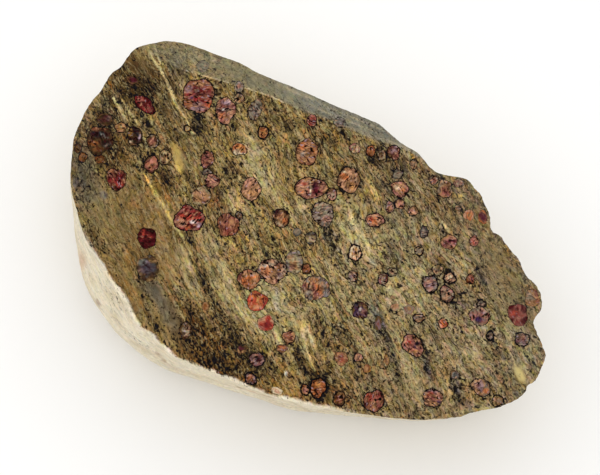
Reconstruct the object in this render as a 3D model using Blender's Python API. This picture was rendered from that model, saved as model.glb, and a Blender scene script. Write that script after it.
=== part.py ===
"""Garnet in matrix: a cobble of garnet schist, sawn across and polished.

One block of rock (node matrix) holds rounded garnet crystals (nodes garnet_01 and up).
The saw cut the crystals flush with the polished face, so each one shows as a section
there and goes on down into its own socket in the rock. Metres, +Z up, origin under the
middle of the specimen's bounding box.
"""

import math
import random

import bmesh
import bpy
from mathutils import Matrix, Vector
from mathutils.geometry import delaunay_2d_cdt

# ---------------------------------------------------------------- driving dimensions (mm)
MM = 0.001
GRID = 0.205            # pitch of the layout grid that every outline and crystal is drawn on
VIEW_ANGLE = 70.0       # the layout is drawn looking down at this angle above the horizon
THICKNESS = 22.0        # flat base to polished face
MIDDLE_COL = 306.6      # grid column over the origin
MIDDLE_ROW = 263.4      # grid row over the origin, for a point at the base's level
SOCKET_GAP = 0.3        # clearance between a crystal and its socket
BASE_INSET = 9.0        # how far the flat base lies inside the widest line of the skin
FACET_FALL = 0.70       # drop per mm of drawn width beyond the crease
FACET_TURN = 18.0       # degrees that the crease is turned from the grid's rows
BREAK_WIDTH = 40.0      # grid steps over which the broken right end falls away
BREAK_DROP = 2.4        # how far it has dropped by then
BREAK_CURVE = 1.5       # power of that fall
ROUND_WIDTH = 30.0      # grid steps over which the left edge is worn round
ROUND_DROP = 1.3        # how far it has dropped by then
ROUND_CURVE = 2.0       # power of that fall
CRYSTAL_FILL = 1.06     # crystal's size, so that its flat faces fill the drawn ellipse

STATIONS = 132          # corners in each level line of the rock
SKIN_LEVELS = 5         # level lines from the polished edge down to the widest line
FOOT_LEVELS = 5         # level lines from there down to the base
CALM_SPAN = 4           # stations on each side that the skin's outline is averaged over
BULGE_CURVE = 1.8       # power of the skin's run out to its widest line
TUCK_CURVE = 1.1        # the same where the skin runs inwards
LUMP = 0.35             # height of the low swells in the weathered skin
# The swells: waves round the rock, turn per mm of height, start, share.
SWELLS = [(5, 0.31, 0.0, 1.0), (9, -0.43, 1.7, 1.0), (17, 0.57, 0.6, 0.6)]
WELD = 1e-5             # points of the cut surface nearer than this are one

ROCK_TONE = (0.22, 0.17, 0.085)
DARK_GARNET, LIGHT_GARNET = (0.30, 0.06, 0.05), (0.40, 0.13, 0.05)

# ------------------------------------------------------------------------- outlines
# Edge of the cut surface, clockwise from the left, in grid columns and rows.
EDGE = [
    (71, 190), (70, 170), (73, 139), (80, 120), (87, 106), (100, 89), (110, 73),
    (120, 65), (132, 49), (147, 43), (168, 39.5), (190, 43.5), (213, 52), (240, 62),
    (256, 71), (279, 80.5), (307, 92), (333, 104), (360, 115), (380, 124), (389, 132),
    (402, 143), (419, 153.5), (430, 167), (442, 174), (466, 179), (475, 189),
    (482, 197), (490, 217), (492, 231), (501, 236), (511, 250), (519, 260), (526, 275.5),
    (538, 288), (541.5, 307), (534, 319), (534, 326), (543, 349), (544, 359),
    (538, 374), (532, 382), (527, 384), (518, 397), (497, 406), (473, 411), (454, 416),
    (424, 418.5), (394, 417), (352, 411.5), (315, 405), (277, 397), (241, 383.5),
    (209, 370), (177, 357), (162, 345), (152, 335), (140, 326), (131, 314), (125, 301),
    (117, 290), (110, 279), (104, 267), (96, 255), (88, 243), (81, 226), (76, 208),
]
# Crease where the second polished facet begins, as (column, row) from left to right.
CREASE = [
    (128, 40), (146, 50), (165, 61), (181, 69), (214, 79), (243, 86.5), (272, 96),
    (300, 110), (330, 120), (365, 136), (406, 150), (425, 160),
]
# Line where the polish stops and the broken right end falls away, as (row, column).
BREAK_LINE = [(150, 426), (175, 440), (240, 465), (300, 500), (400, 505), (425, 500)]
# Folds of the broken end: how far beyond that line, as a share of BREAK_WIDTH, and rows.
BREAK_FOLDS = [
    (0.0, (190, 215, 240, 270, 300, 330, 360, 388)),
    (0.45, (240, 270, 300, 330, 360)),
]
# Line where the worn left edge begins to fall, as (row, column).
WORN_LINE = [(40, 130), (90, 118), (130, 100), (190, 96), (240, 92), (262, 84)]
WORN_FOLD = 2           # grid steps from that line to the fold of the faces beside it
# Weathered skin round the rock: plan angle in degrees, how far its widest line lies
# outside (+) or inside (-) the edge of the cut surface, and the height of that line.
SKIN = [
    (0, -1.6, 12.0), (30, 0.0, 11.0), (60, 0.6, 11.0), (90, 0.6, 11.0), (120, 0.4, 11.0),
    (150, 0.5, 11.0), (170, 0.0, 12.0), (180, 1.3, 12.0), (190, 3.0, 12.0),
    (200, 3.1, 12.0), (210, 2.1, 12.0), (220, 0.1, 11.5), (230, -1.5, 11.0),
    (240, -2.0, 11.0), (250, -2.8, 11.0), (270, -3.2, 11.0), (280, -4.0, 11.0),
    (290, -5.4, 11.0), (310, -5.0, 11.0), (320, -4.4, 11.0), (340, -3.0, 11.5),
]

# ------------------------------------------------------------------------- crystals
# One row for each garnet: its lobes as (column, row, width, height, turn), all in grid
# steps and degrees. Crystals that grew into each other are lobes of one garnet.
GARNETS = [
    [(198, 95, 31, 34, 0)],
    [(225, 110, 19, 26, 8)],
    [(144, 104, 23, 13, -40)],
    [(99, 140, 28, 28, 0), (104, 121, 18, 18, 0)],
    [(134, 136, 14, 18, 0)],
    [(151, 164, 13, 17, 10)],
    [(164, 158, 13, 15, 0)],
    [(116, 179, 19, 22, 0)],
    [(147, 238, 18, 21, 0)],
    [(148, 268, 22, 26, 0)],
    [(189, 219, 29, 25, 0)],
    [(228, 225, 21, 23, 0)],
    [(201, 196, 19, 18, 0)],
    [(212, 181, 14, 13, 0)],
    [(207, 159, 13, 19, 10)],
    [(251, 189, 19, 22, 0)],
    [(239, 149, 14, 12, 0)],
    [(255, 109, 13, 21, 20)],
    [(307, 152, 21, 27, 0)],
    [(311, 188, 33, 20, 0)],
    [(349, 180, 22, 24, 0)],
    [(394, 152, 12, 14, 0)],
    [(400, 189, 17, 15, 0)],
    [(375, 220, 17, 13, 0)],
    [(323, 214, 21, 24, 0)],
    [(281, 218, 16, 18, 0)],
    [(249, 279, 22, 20, 0)],
    [(273, 271, 31, 25, 0), (293, 262, 21, 25, 0), (304, 269, 12, 12, 0)],
    [(316, 288, 27, 24, 0)],
    [(257, 300, 19, 20, 0)],
    [(266, 323, 16, 16, 0)],
    [(289, 337, 12, 13, 0)],
    [(257, 359, 15, 12, 0)],
    [(355, 253, 12, 14, 0)],
    [(360, 310, 15, 17, 0)],
    [(341, 358, 13, 14, 0)],
    [(318, 387, 15, 20, -20)],
    [(339, 398, 11, 15, 0)],
    [(373, 400, 20, 22, 0)],
    [(412, 345, 23, 20, 40)],
    [(432, 396, 21, 20, 0)],
    [(430, 284, 14, 17, 0)],
    [(446, 294, 13, 17, 15)],
    [(478, 316, 22, 19, 0)],
    [(518, 314, 21, 23, 0)],
    [(522, 339, 15, 13, 0)],
    [(480, 387, 21, 18, 30)],
    [(449, 242, 18, 15, 0)],
    [(445, 189, 16, 18, 0), (456, 184, 15, 12, 0)],
    [(186, 329, 13, 17, 0)],
]


# ------------------------------------------------------------------- the layout grid
def ramp(value, table):
    """Straight-line interpolation in a table of (value, result) rows."""
    if value <= table[0][0]:
        return table[0][1]
    for (low, first), (high, second) in zip(table, table[1:]):
        if value <= high:
            return first + (second - first) * (value - low) / (high - low)
    return table[-1][1]


def surface_height(col, row):
    """Height in mm of the cut surface under a spot of the layout."""
    beyond_crease = max(0.0, ramp(col, CREASE) - row) * math.cos(math.radians(FACET_TURN))
    beyond_break = max(0.0, col - ramp(row, BREAK_LINE)) / BREAK_WIDTH
    beyond_worn = max(0.0, ramp(row, WORN_LINE) - col) / ROUND_WIDTH
    drop = beyond_crease * GRID * FACET_FALL
    drop += BREAK_DROP * beyond_break ** BREAK_CURVE
    drop += ROUND_DROP * beyond_worn ** ROUND_CURVE
    return THICKNESS - drop


def place(col, row, height=None):
    """World point in mm of a spot of the layout, on the cut surface or at a height."""
    if height is None:
        height = surface_height(col, row)
    lean = math.radians(VIEW_ANGLE)
    across = (col - MIDDLE_COL) * GRID
    up_the_sheet = (MIDDLE_ROW - row) * GRID
    return Vector((across, (up_the_sheet - height * math.cos(lean)) / math.sin(lean), height))


# ------------------------------------------------------------------------ mesh helpers
def make_object(name, bm, material=None):
    """A new object from a bmesh drawn in mm, with flat faces and outward normals."""
    bmesh.ops.scale(bm, vec=(MM, MM, MM), verts=bm.verts)
    bmesh.ops.recalc_face_normals(bm, faces=bm.faces)
    mesh = bpy.data.meshes.new(name)
    bm.to_mesh(mesh)
    bm.free()
    obj = bpy.data.objects.new(name, mesh)
    bpy.context.scene.collection.objects.link(obj)
    if material:
        mesh.materials.append(material)
    return obj


def hide_guide(obj):
    """Mark an object as a cutter or guide that isn't part of the specimen."""
    obj.hide_render = True
    obj.display_type = "WIRE"


def add_boolean(obj, operation, other):
    """Combine obj with a guide object."""
    modifier = obj.modifiers.new(operation.lower(), "BOOLEAN")
    modifier.operation = operation
    modifier.solver = "EXACT"
    modifier.object = other


def make_material(name, colour, roughness):
    """A plain Principled material."""
    material = bpy.data.materials.new(name)
    material.use_nodes = True
    shader = material.node_tree.nodes["Principled BSDF"]
    shader.inputs["Base Color"].default_value = (*colour, 1.0)
    shader.inputs["Roughness"].default_value = roughness
    shader.inputs["Metallic"].default_value = 0.0
    return material


# --------------------------------------------------------------------------- the rock
def edge_loop():
    """Corners of the cut surface's edge at even plan angles."""
    corners = [place(col, row) for col, row in EDGE]
    polar = sorted((math.atan2(p.y, p.x) % math.tau, p.xy.length, p.z) for p in corners)
    first, last = polar[0], polar[-1]
    polar = [(last[0] - math.tau, *last[1:]), *polar, (first[0] + math.tau, *first[1:])]
    radii = [(angle, radius) for angle, radius, _ in polar]
    heights = [(angle, height) for angle, _, height in polar]
    loop = []
    for step in range(STATIONS):
        angle = math.tau * step / STATIONS
        loop.append((angle, ramp(angle, radii), ramp(angle, heights)))
    return loop


def skin_shape(angle):
    """Outward bulge and height in mm of the skin's widest line at a plan angle."""
    degrees = math.degrees(angle) % 360
    wrapped = [*SKIN, (SKIN[0][0] + 360, *SKIN[0][1:])]
    bulge = ramp(degrees, [(at, out) for at, out, _ in wrapped])
    height = ramp(degrees, [(at, up) for at, _, up in wrapped])
    return bulge, height


def swell(angle, height):
    """Low swells of the weathered skin, in mm."""
    wave = sum(share * math.sin(count * angle + turn * height + start)
               for count, turn, start, share in SWELLS)
    return LUMP * wave / sum(share for _, _, _, share in SWELLS)


def calm_radius(loop, station):
    """Edge radius averaged over its neighbours, because the skin is smoother than the edge."""
    near = [loop[(station + step) % STATIONS][1] for step in range(-CALM_SPAN, CALM_SPAN + 1)]
    return sum(near) / len(near)


def skin_rows(loop):
    """Level lines of the skin, from just under the edge down to the flat base."""
    calm = [calm_radius(loop, station) for station in range(STATIONS)]
    rows = []
    for level in range(1, SKIN_LEVELS + 1):
        share = level / SKIN_LEVELS
        row = []
        for (angle, radius, top), smooth in zip(loop, calm):
            bulge, widest = skin_shape(angle)
            reach = 1 - (1 - share) ** BULGE_CURVE if bulge > 0 else share ** TUCK_CURVE
            height = top + (widest - top) * share
            out = radius + (smooth - radius) * share + bulge * reach
            out += swell(angle, height) * share
            row.append(Vector((out * math.cos(angle), out * math.sin(angle), height)))
        rows.append(row)
    for level in range(1, FOOT_LEVELS + 1):
        turn = math.pi / 2 * level / FOOT_LEVELS
        row = []
        for (angle, _, _), smooth in zip(loop, calm):
            bulge, widest = skin_shape(angle)
            height = widest * (1 - math.sin(turn))
            inset = BASE_INSET * (1 - math.cos(turn))
            out = smooth + bulge - inset + swell(angle, height)
            row.append(Vector((out * math.cos(angle), out * math.sin(angle), height)))
        rows.append(row)
    return rows


def surface_lines():
    """Inner lines of the cut surface that its faces must follow."""
    worn = [(col + WORN_FOLD, row) for row, col in WORN_LINE[1:-1]]
    lines = [CREASE[2:-1], worn]
    for share, rows in BREAK_FOLDS:
        lines.append([(ramp(row, BREAK_LINE) + share * BREAK_WIDTH, row) for row in rows])
    return lines


def rock_mesh():
    """The whole rock before the crystals' sockets are cut."""
    loop = edge_loop()
    edge = [Vector((r * math.cos(a), r * math.sin(a), z)) for a, r, z in loop]
    points = list(edge)
    ties = [(i, (i + 1) % STATIONS) for i in range(STATIONS)]
    for line in surface_lines():
        start = len(points)
        points.extend(place(col, row) for col, row in line)
        ties.extend((i, i + 1) for i in range(start, len(points) - 1))
    flat = [p.xy for p in points]
    _, _, faces, sources, _, _ = delaunay_2d_cdt(flat, ties, [range(STATIONS)], 1, WELD)

    bm = bmesh.new()
    top = [bm.verts.new(points[source[0]]) for source in sources]
    for face in faces:
        bm.faces.new([top[i] for i in face])
    at_edge = {source[0]: vert for source, vert in zip(sources, top)}
    above = [at_edge[i] for i in range(STATIONS)]
    for row in skin_rows(loop):
        below = [bm.verts.new(point) for point in row]
        for i in range(STATIONS):
            j = (i + 1) % STATIONS
            bm.faces.new((above[i], above[j], below[j], below[i]))
        above = below
    bm.faces.new(above)
    return bm


# ------------------------------------------------------------------------ the crystals
def crystal_corners():
    """Corners of a trapezohedron, the 24-faced form of garnet, one unit in radius."""
    corners = []
    for axis in range(3):
        for sign in (-1, 1):
            corner = [0.0, 0.0, 0.0]
            corner[axis] = float(sign)
            corners.append(Vector(corner))
    for flat_axis in range(3):
        for first in (-1, 1):
            for second in (-1, 1):
                corner = [first * 2 / 3, second * 2 / 3]
                corner.insert(flat_axis, 0.0)
                corners.append(Vector(corner))
    for x in (-0.5, 0.5):
        for y in (-0.5, 0.5):
            for z in (-0.5, 0.5):
                corners.append(Vector((x, y, z)))
    return corners


def crystal_mesh(lobe, spin, grow=0.0):
    """One garnet crystal in mm, centred on the cut surface; grow makes it a socket."""
    col, row, width, height, turn = lobe
    centre = place(col, row)
    half_width = width * GRID / 2 + grow
    half_height = height * GRID / 2 / math.sin(math.radians(VIEW_ANGLE)) + grow
    half_depth = (width + height) * GRID / 4 + grow
    pose = Matrix.Translation(centre) @ Matrix.Rotation(math.radians(turn), 4, "Z")
    pose = pose @ Matrix.Diagonal((half_width, half_height, half_depth, 1.0))
    pose = pose @ spin.to_4x4()
    bm = bmesh.new()
    verts = [bm.verts.new(pose @ (corner * CRYSTAL_FILL)) for corner in crystal_corners()]
    bmesh.ops.convex_hull(bm, input=verts)
    return bm


def crystal_spin(chance):
    """A seeded orientation for a crystal."""
    axis = Vector((chance.uniform(-1, 1), chance.uniform(-1, 1), chance.uniform(-1, 1)))
    return Matrix.Rotation(chance.uniform(0, math.tau), 3, axis.normalized())


def build():
    for obj in list(bpy.data.objects):
        bpy.data.objects.remove(obj, do_unlink=True)

    rock_material = make_material("garnet_schist", ROCK_TONE, 0.35)
    blank = make_object("blank", rock_mesh())
    hide_guide(blank)
    matrix = make_object("matrix", rock_mesh(), rock_material)

    chance = random.Random(7)
    for number, lobes in enumerate(GARNETS, start=1):
        name = f"garnet_{number:02d}"
        colour = Vector(DARK_GARNET).lerp(Vector(LIGHT_GARNET), chance.uniform(0.0, 1.0))
        garnet = None
        for part, lobe in enumerate(lobes):
            spin = crystal_spin(chance)
            socket = make_object(f"{name}_socket_{part}", crystal_mesh(lobe, spin, SOCKET_GAP))
            hide_guide(socket)
            add_boolean(matrix, "DIFFERENCE", socket)
            if garnet is None:
                material = make_material(name, colour, 0.25)
                garnet = make_object(name, crystal_mesh(lobe, spin), material)
            else:
                twin = make_object(f"{name}_lobe_{part}", crystal_mesh(lobe, spin))
                hide_guide(twin)
                add_boolean(garnet, "UNION", twin)
        add_boolean(garnet, "INTERSECT", blank)


build()
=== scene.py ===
"""Looks of the garnet in matrix: a sawn and polished cobble of garnet schist.

The layout is a grid of columns and rows, GRID mm apart, drawn looking down at VIEW_ANGLE
above the horizon. Every outline, vein, tone and crystal below is placed on that grid, and
place() turns a spot of it into a point of the specimen. The rock is one fine mesh with a
socket for each crystal, and each crystal is a plug that fills its socket.
"""

import math

import bmesh
import bpy
import numpy as np
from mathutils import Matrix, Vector
from mathutils.geometry import delaunay_2d_cdt


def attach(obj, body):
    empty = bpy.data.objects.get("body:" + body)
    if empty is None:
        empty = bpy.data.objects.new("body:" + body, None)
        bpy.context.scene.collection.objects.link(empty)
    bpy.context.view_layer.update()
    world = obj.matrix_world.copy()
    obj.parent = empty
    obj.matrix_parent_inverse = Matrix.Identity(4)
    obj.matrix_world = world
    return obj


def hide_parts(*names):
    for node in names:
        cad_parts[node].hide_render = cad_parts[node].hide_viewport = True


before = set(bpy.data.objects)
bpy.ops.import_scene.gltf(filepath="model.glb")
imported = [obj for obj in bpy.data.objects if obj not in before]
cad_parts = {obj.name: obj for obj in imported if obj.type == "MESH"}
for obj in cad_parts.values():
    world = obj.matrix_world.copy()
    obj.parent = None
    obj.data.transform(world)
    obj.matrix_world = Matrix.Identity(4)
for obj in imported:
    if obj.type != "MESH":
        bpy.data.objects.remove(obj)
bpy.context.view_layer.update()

# ------------------------------------------------------------ layout, as in the CAD (mm)
MM = 0.001
GRID = 0.205
VIEW_ANGLE = 70.0
LEAN = math.radians(VIEW_ANGLE)
THICKNESS = 22.0
MIDDLE_COL = 306.6
MIDDLE_ROW = 263.4
HUB = (MIDDLE_COL, 226.7)      # spot of the layout that outlines are measured round
BASE_INSET = 9.0
FACET_FALL, FACET_TURN = 0.70, math.radians(18)
BREAK_WIDTH, BREAK_DROP, BREAK_CURVE = 40.0, 2.4, 1.5
ROUND_WIDTH, ROUND_DROP, ROUND_CURVE = 30.0, 1.3, 2.0
BULGE_CURVE, TUCK_CURVE = 1.8, 1.1
LUMP = 0.35
# Swells of the skin: waves round it, radians a mm of height, phase, weight.
SWELLS = [(5, 0.31, 0.0, 1.0), (9, -0.43, 1.7, 1.0), (17, 0.57, 0.6, 0.6)]

EDGE = [
    (71, 190), (70, 170), (73, 139), (80, 120), (87, 106), (100, 89), (110, 73), (120, 65),
    (132, 49), (147, 43), (168, 39.5), (190, 43.5), (213, 52), (240, 62), (256, 71), (279, 80.5),
    (307, 92), (333, 104), (360, 115), (380, 124), (389, 132), (402, 143), (419, 153.5),
    (430, 167), (442, 174), (466, 179), (475, 189), (482, 197), (490, 217), (492, 231),
    (501, 236), (511, 250), (519, 260), (526, 275.5), (538, 288), (541.5, 307), (534, 319),
    (534, 326), (543, 349), (544, 359), (538, 374), (532, 382), (527, 384), (518, 397),
    (497, 406), (473, 411), (454, 416), (424, 418.5), (394, 417), (352, 411.5), (315, 405),
    (277, 397), (241, 383.5), (209, 370), (177, 357), (162, 345), (152, 335), (140, 326),
    (131, 314), (125, 301), (117, 290), (110, 279), (104, 267), (96, 255), (88, 243), (81, 226),
    (76, 208),
]
CREASE = [
    (128, 40), (146, 50), (165, 61), (181, 69), (214, 79), (243, 86.5), (272, 96), (300, 110),
    (330, 120), (365, 136), (406, 150), (425, 160),
]
# Row and column of the lines past which the surface is broken off, and worn round.
BREAK_LINE = [(150, 426), (175, 440), (240, 465), (300, 500), (400, 505), (425, 500)]
WORN_LINE = [(40, 130), (90, 118), (130, 100), (190, 96), (240, 92), (262, 84)]
# Skin: plan angle (degrees), bulge past the edge and height of its widest line (mm).
SKIN = [
    (0, -1.6, 12.0), (30, 0.0, 11.0), (60, 0.6, 11.0), (90, 0.6, 11.0), (120, 0.4, 11.0),
    (150, 0.5, 11.0), (170, 0.0, 12.0), (180, 1.3, 12.0), (190, 3.0, 12.0), (200, 3.1, 12.0),
    (210, 2.1, 12.0), (220, 0.1, 11.5), (230, -1.5, 11.0), (240, -2.0, 11.0), (250, -2.8, 11.0),
    (270, -3.2, 11.0), (280, -4.0, 11.0), (290, -5.4, 11.0), (310, -5.0, 11.0), (320, -4.4, 11.0),
    (340, -3.0, 11.5),
]

# ------------------------------------------------------------------- fineness of the mesh
PITCH = 1.36            # grid steps between points of the polished face
EDGE_STEP = 1.7         # grid steps between points of its edge
OUTLINE_STEP = 0.92     # step along a crystal's outline, of the pitch
SHAKE = 0.45            # how far the face's points are shaken off their grid, of the pitch
EDGE_CLEAR = 0.75       # room between those points and the edge, of the pitch
RIM_CLEAR = 0.55        # room between them and a crystal, of the pitch
CREASE_CLEAR = 0.5      # room between them and the crease, of the pitch
FACE_COLS, FACE_ROWS = (68, 546), (38, 420)     # frame round the face on the layout
SKIN_ROWS = 15          # level lines from the edge down to the skin's widest line
SKIN_CROWDING = 1.35    # how much closer together they lie at the edge
FOOT_ROWS = 13          # level lines from there down to the base
BASE_ROWS = 4           # rings across the flat base
CALM_SPANS = (12, 4, 4)     # degrees each way that edge, bulge and widest line are evened
SOCKET_TAPER = 0.8      # width of a socket's floor ring, of its mouth
SOCKET_DEPTH = 0.45     # depth of a socket, of its mean half width
SOCKET_FLOOR = 0.7      # depth of its floor ring, of its own depth
SOCKET_FIT = 0.94       # size of a crystal's hidden side, of its socket
LEAST_POINTS = 14       # fewest points of a crystal's outline
RIM_SPREAD = 0.9        # how far a dark rim widens a crystal, in grid steps for a rim of 1
RIM_MOST = 1.4          # darkness of rim past which it isn't widened any more
CRYSTAL_GAP = 0.9       # least grid steps of rock between two crystals
EDGE_GAP = 1.6          # least grid steps of rock between a crystal and the edge
INSIDE = 0.995          # share of a crystal's outline within which a triangle is its own
FAR = 9.0               # grid steps past which a crystal's rim or a vein has no effect
# Lumps round a crystal's outline: how many, and their height, of its half width.
HARMONICS = [(2, 0.035), (3, 0.05), (4, 0.035), (5, 0.03), (7, 0.02)]
RIM_STEPS = (0.0, 0.7, 1.4, 2.2)    # grid steps of the rings next to a crystal's rim
INNER_STEP = 1.7        # grid steps between its other rings
LEAST_RINGS = 3         # fewest of those other rings
INNER_LEAST = 0.5       # how far in the rings next to the rim may reach, of the half width
GRAIN_TURN, GRAIN_SHIFT = 37.0, 3.0     # degrees and mm between the patterns of two garnets
SHARP = math.radians(28)            # edges sharper than this are shaded as edges

# ------------------------------------------------- places on the bake maps (shares of them)
MARGIN = 0.012
FACE_TEXELS = 0.975 / (FACE_COLS[1] - FACE_COLS[0])     # for a grid step of the face
WALL_TOP, WALL_SPAN = 0.2, 0.1                          # the skin's strip
BASE_SPOT, BASE_TEXELS = (0.062, 0.048), 0.0010         # the base's middle, and a mm of it
SHOWN_SPOT, SHOWN_REACH = 0.41, 0.38                    # a garnet's face, of its cell
HIDDEN_SPOT, HIDDEN_REACH, HIDDEN_RING = 0.89, 0.08, 0.7    # its hidden side, and ring

# ---------------------------------------------------------------- camera, floor and light
FRAME_COLS, FRAME_ROWS = 600, 475   # the picture's frame on the layout
LENS, SENSOR = 600.0, 36.0          # mm
FLOOR_SIZE = 8.0                    # m
FLOOR_TONE, FLOOR_ROUGHNESS = (0.915, 0.909, 0.896, 1.0), 0.9
LIGHT_DISTANCE = 0.9                # m
LIGHT_TURN, LIGHT_RISE = math.radians(-40), math.radians(84)    # from +Y to +X, and up
LIGHT_SIZE, LIGHT_POWER = 3.0, 28.5                             # m, W
# Brightness of the surround, by the height of a direction: 0 level, 1 straight up.
SKY = [(0.0, 1.0), (1.0, 0.04), (0.12, 1.0), (0.30, 0.9), (0.60, 0.5), (0.80, 0.08)]

# ---------------------------------------------------------------------- tones (sRGB, 0-255)
TONES = {
    "khaki": (142, 120, 77), "olive": (124, 108, 69), "tan": (158, 143, 106),
    "pale": (174, 163, 126), "ochre": (146, 106, 48), "brown": (88, 64, 34),
    "umber": (58, 43, 24), "grey": (112, 104, 86), "slate": (70, 70, 66),
    "yellow": (206, 186, 120), "lemon": (216, 186, 104), "black": (14, 9, 5),
    "rust": (120, 68, 30), "cream": (214, 196, 160), "white": (226, 222, 214),
    "crimson": (120, 38, 36), "blood": (66, 14, 18), "red": (160, 58, 44),
    "orange": (178, 100, 54), "amber": (172, 122, 66), "salmon": (182, 134, 102),
    "pink": (152, 100, 88), "rose": (126, 74, 64), "plum": (80, 32, 42), "violet": (52, 34, 66),
    "night": (14, 16, 24), "mauve": (122, 98, 98), "lilac": (158, 136, 146),
    "sienna": (130, 80, 54), "clay": (150, 110, 72), "stone": (130, 117, 97),
    "ash": (118, 110, 100), "blue": (78, 84, 100), "skin": (236, 226, 202),
    "dun": (212, 196, 166), "blush": (214, 180, 152), "fawn": (122, 96, 58),
    # haze is the grey-green of the painted sheen on the second facet and its crystals; one garnet
    # touch uses it as a plain tone.
    "haze": (122, 119, 94), "steel": (112, 117, 108), "wheat": (186, 170, 124),
}

SKIN_CALM = 0.8         # how even the skin's grain is
FACET_SLOPE = 22.0      # slope of the second facet's fine grinding lines, in degrees
FOLIATION = 62.0        # slope of the layering on the layout, down to the right, in degrees

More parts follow.
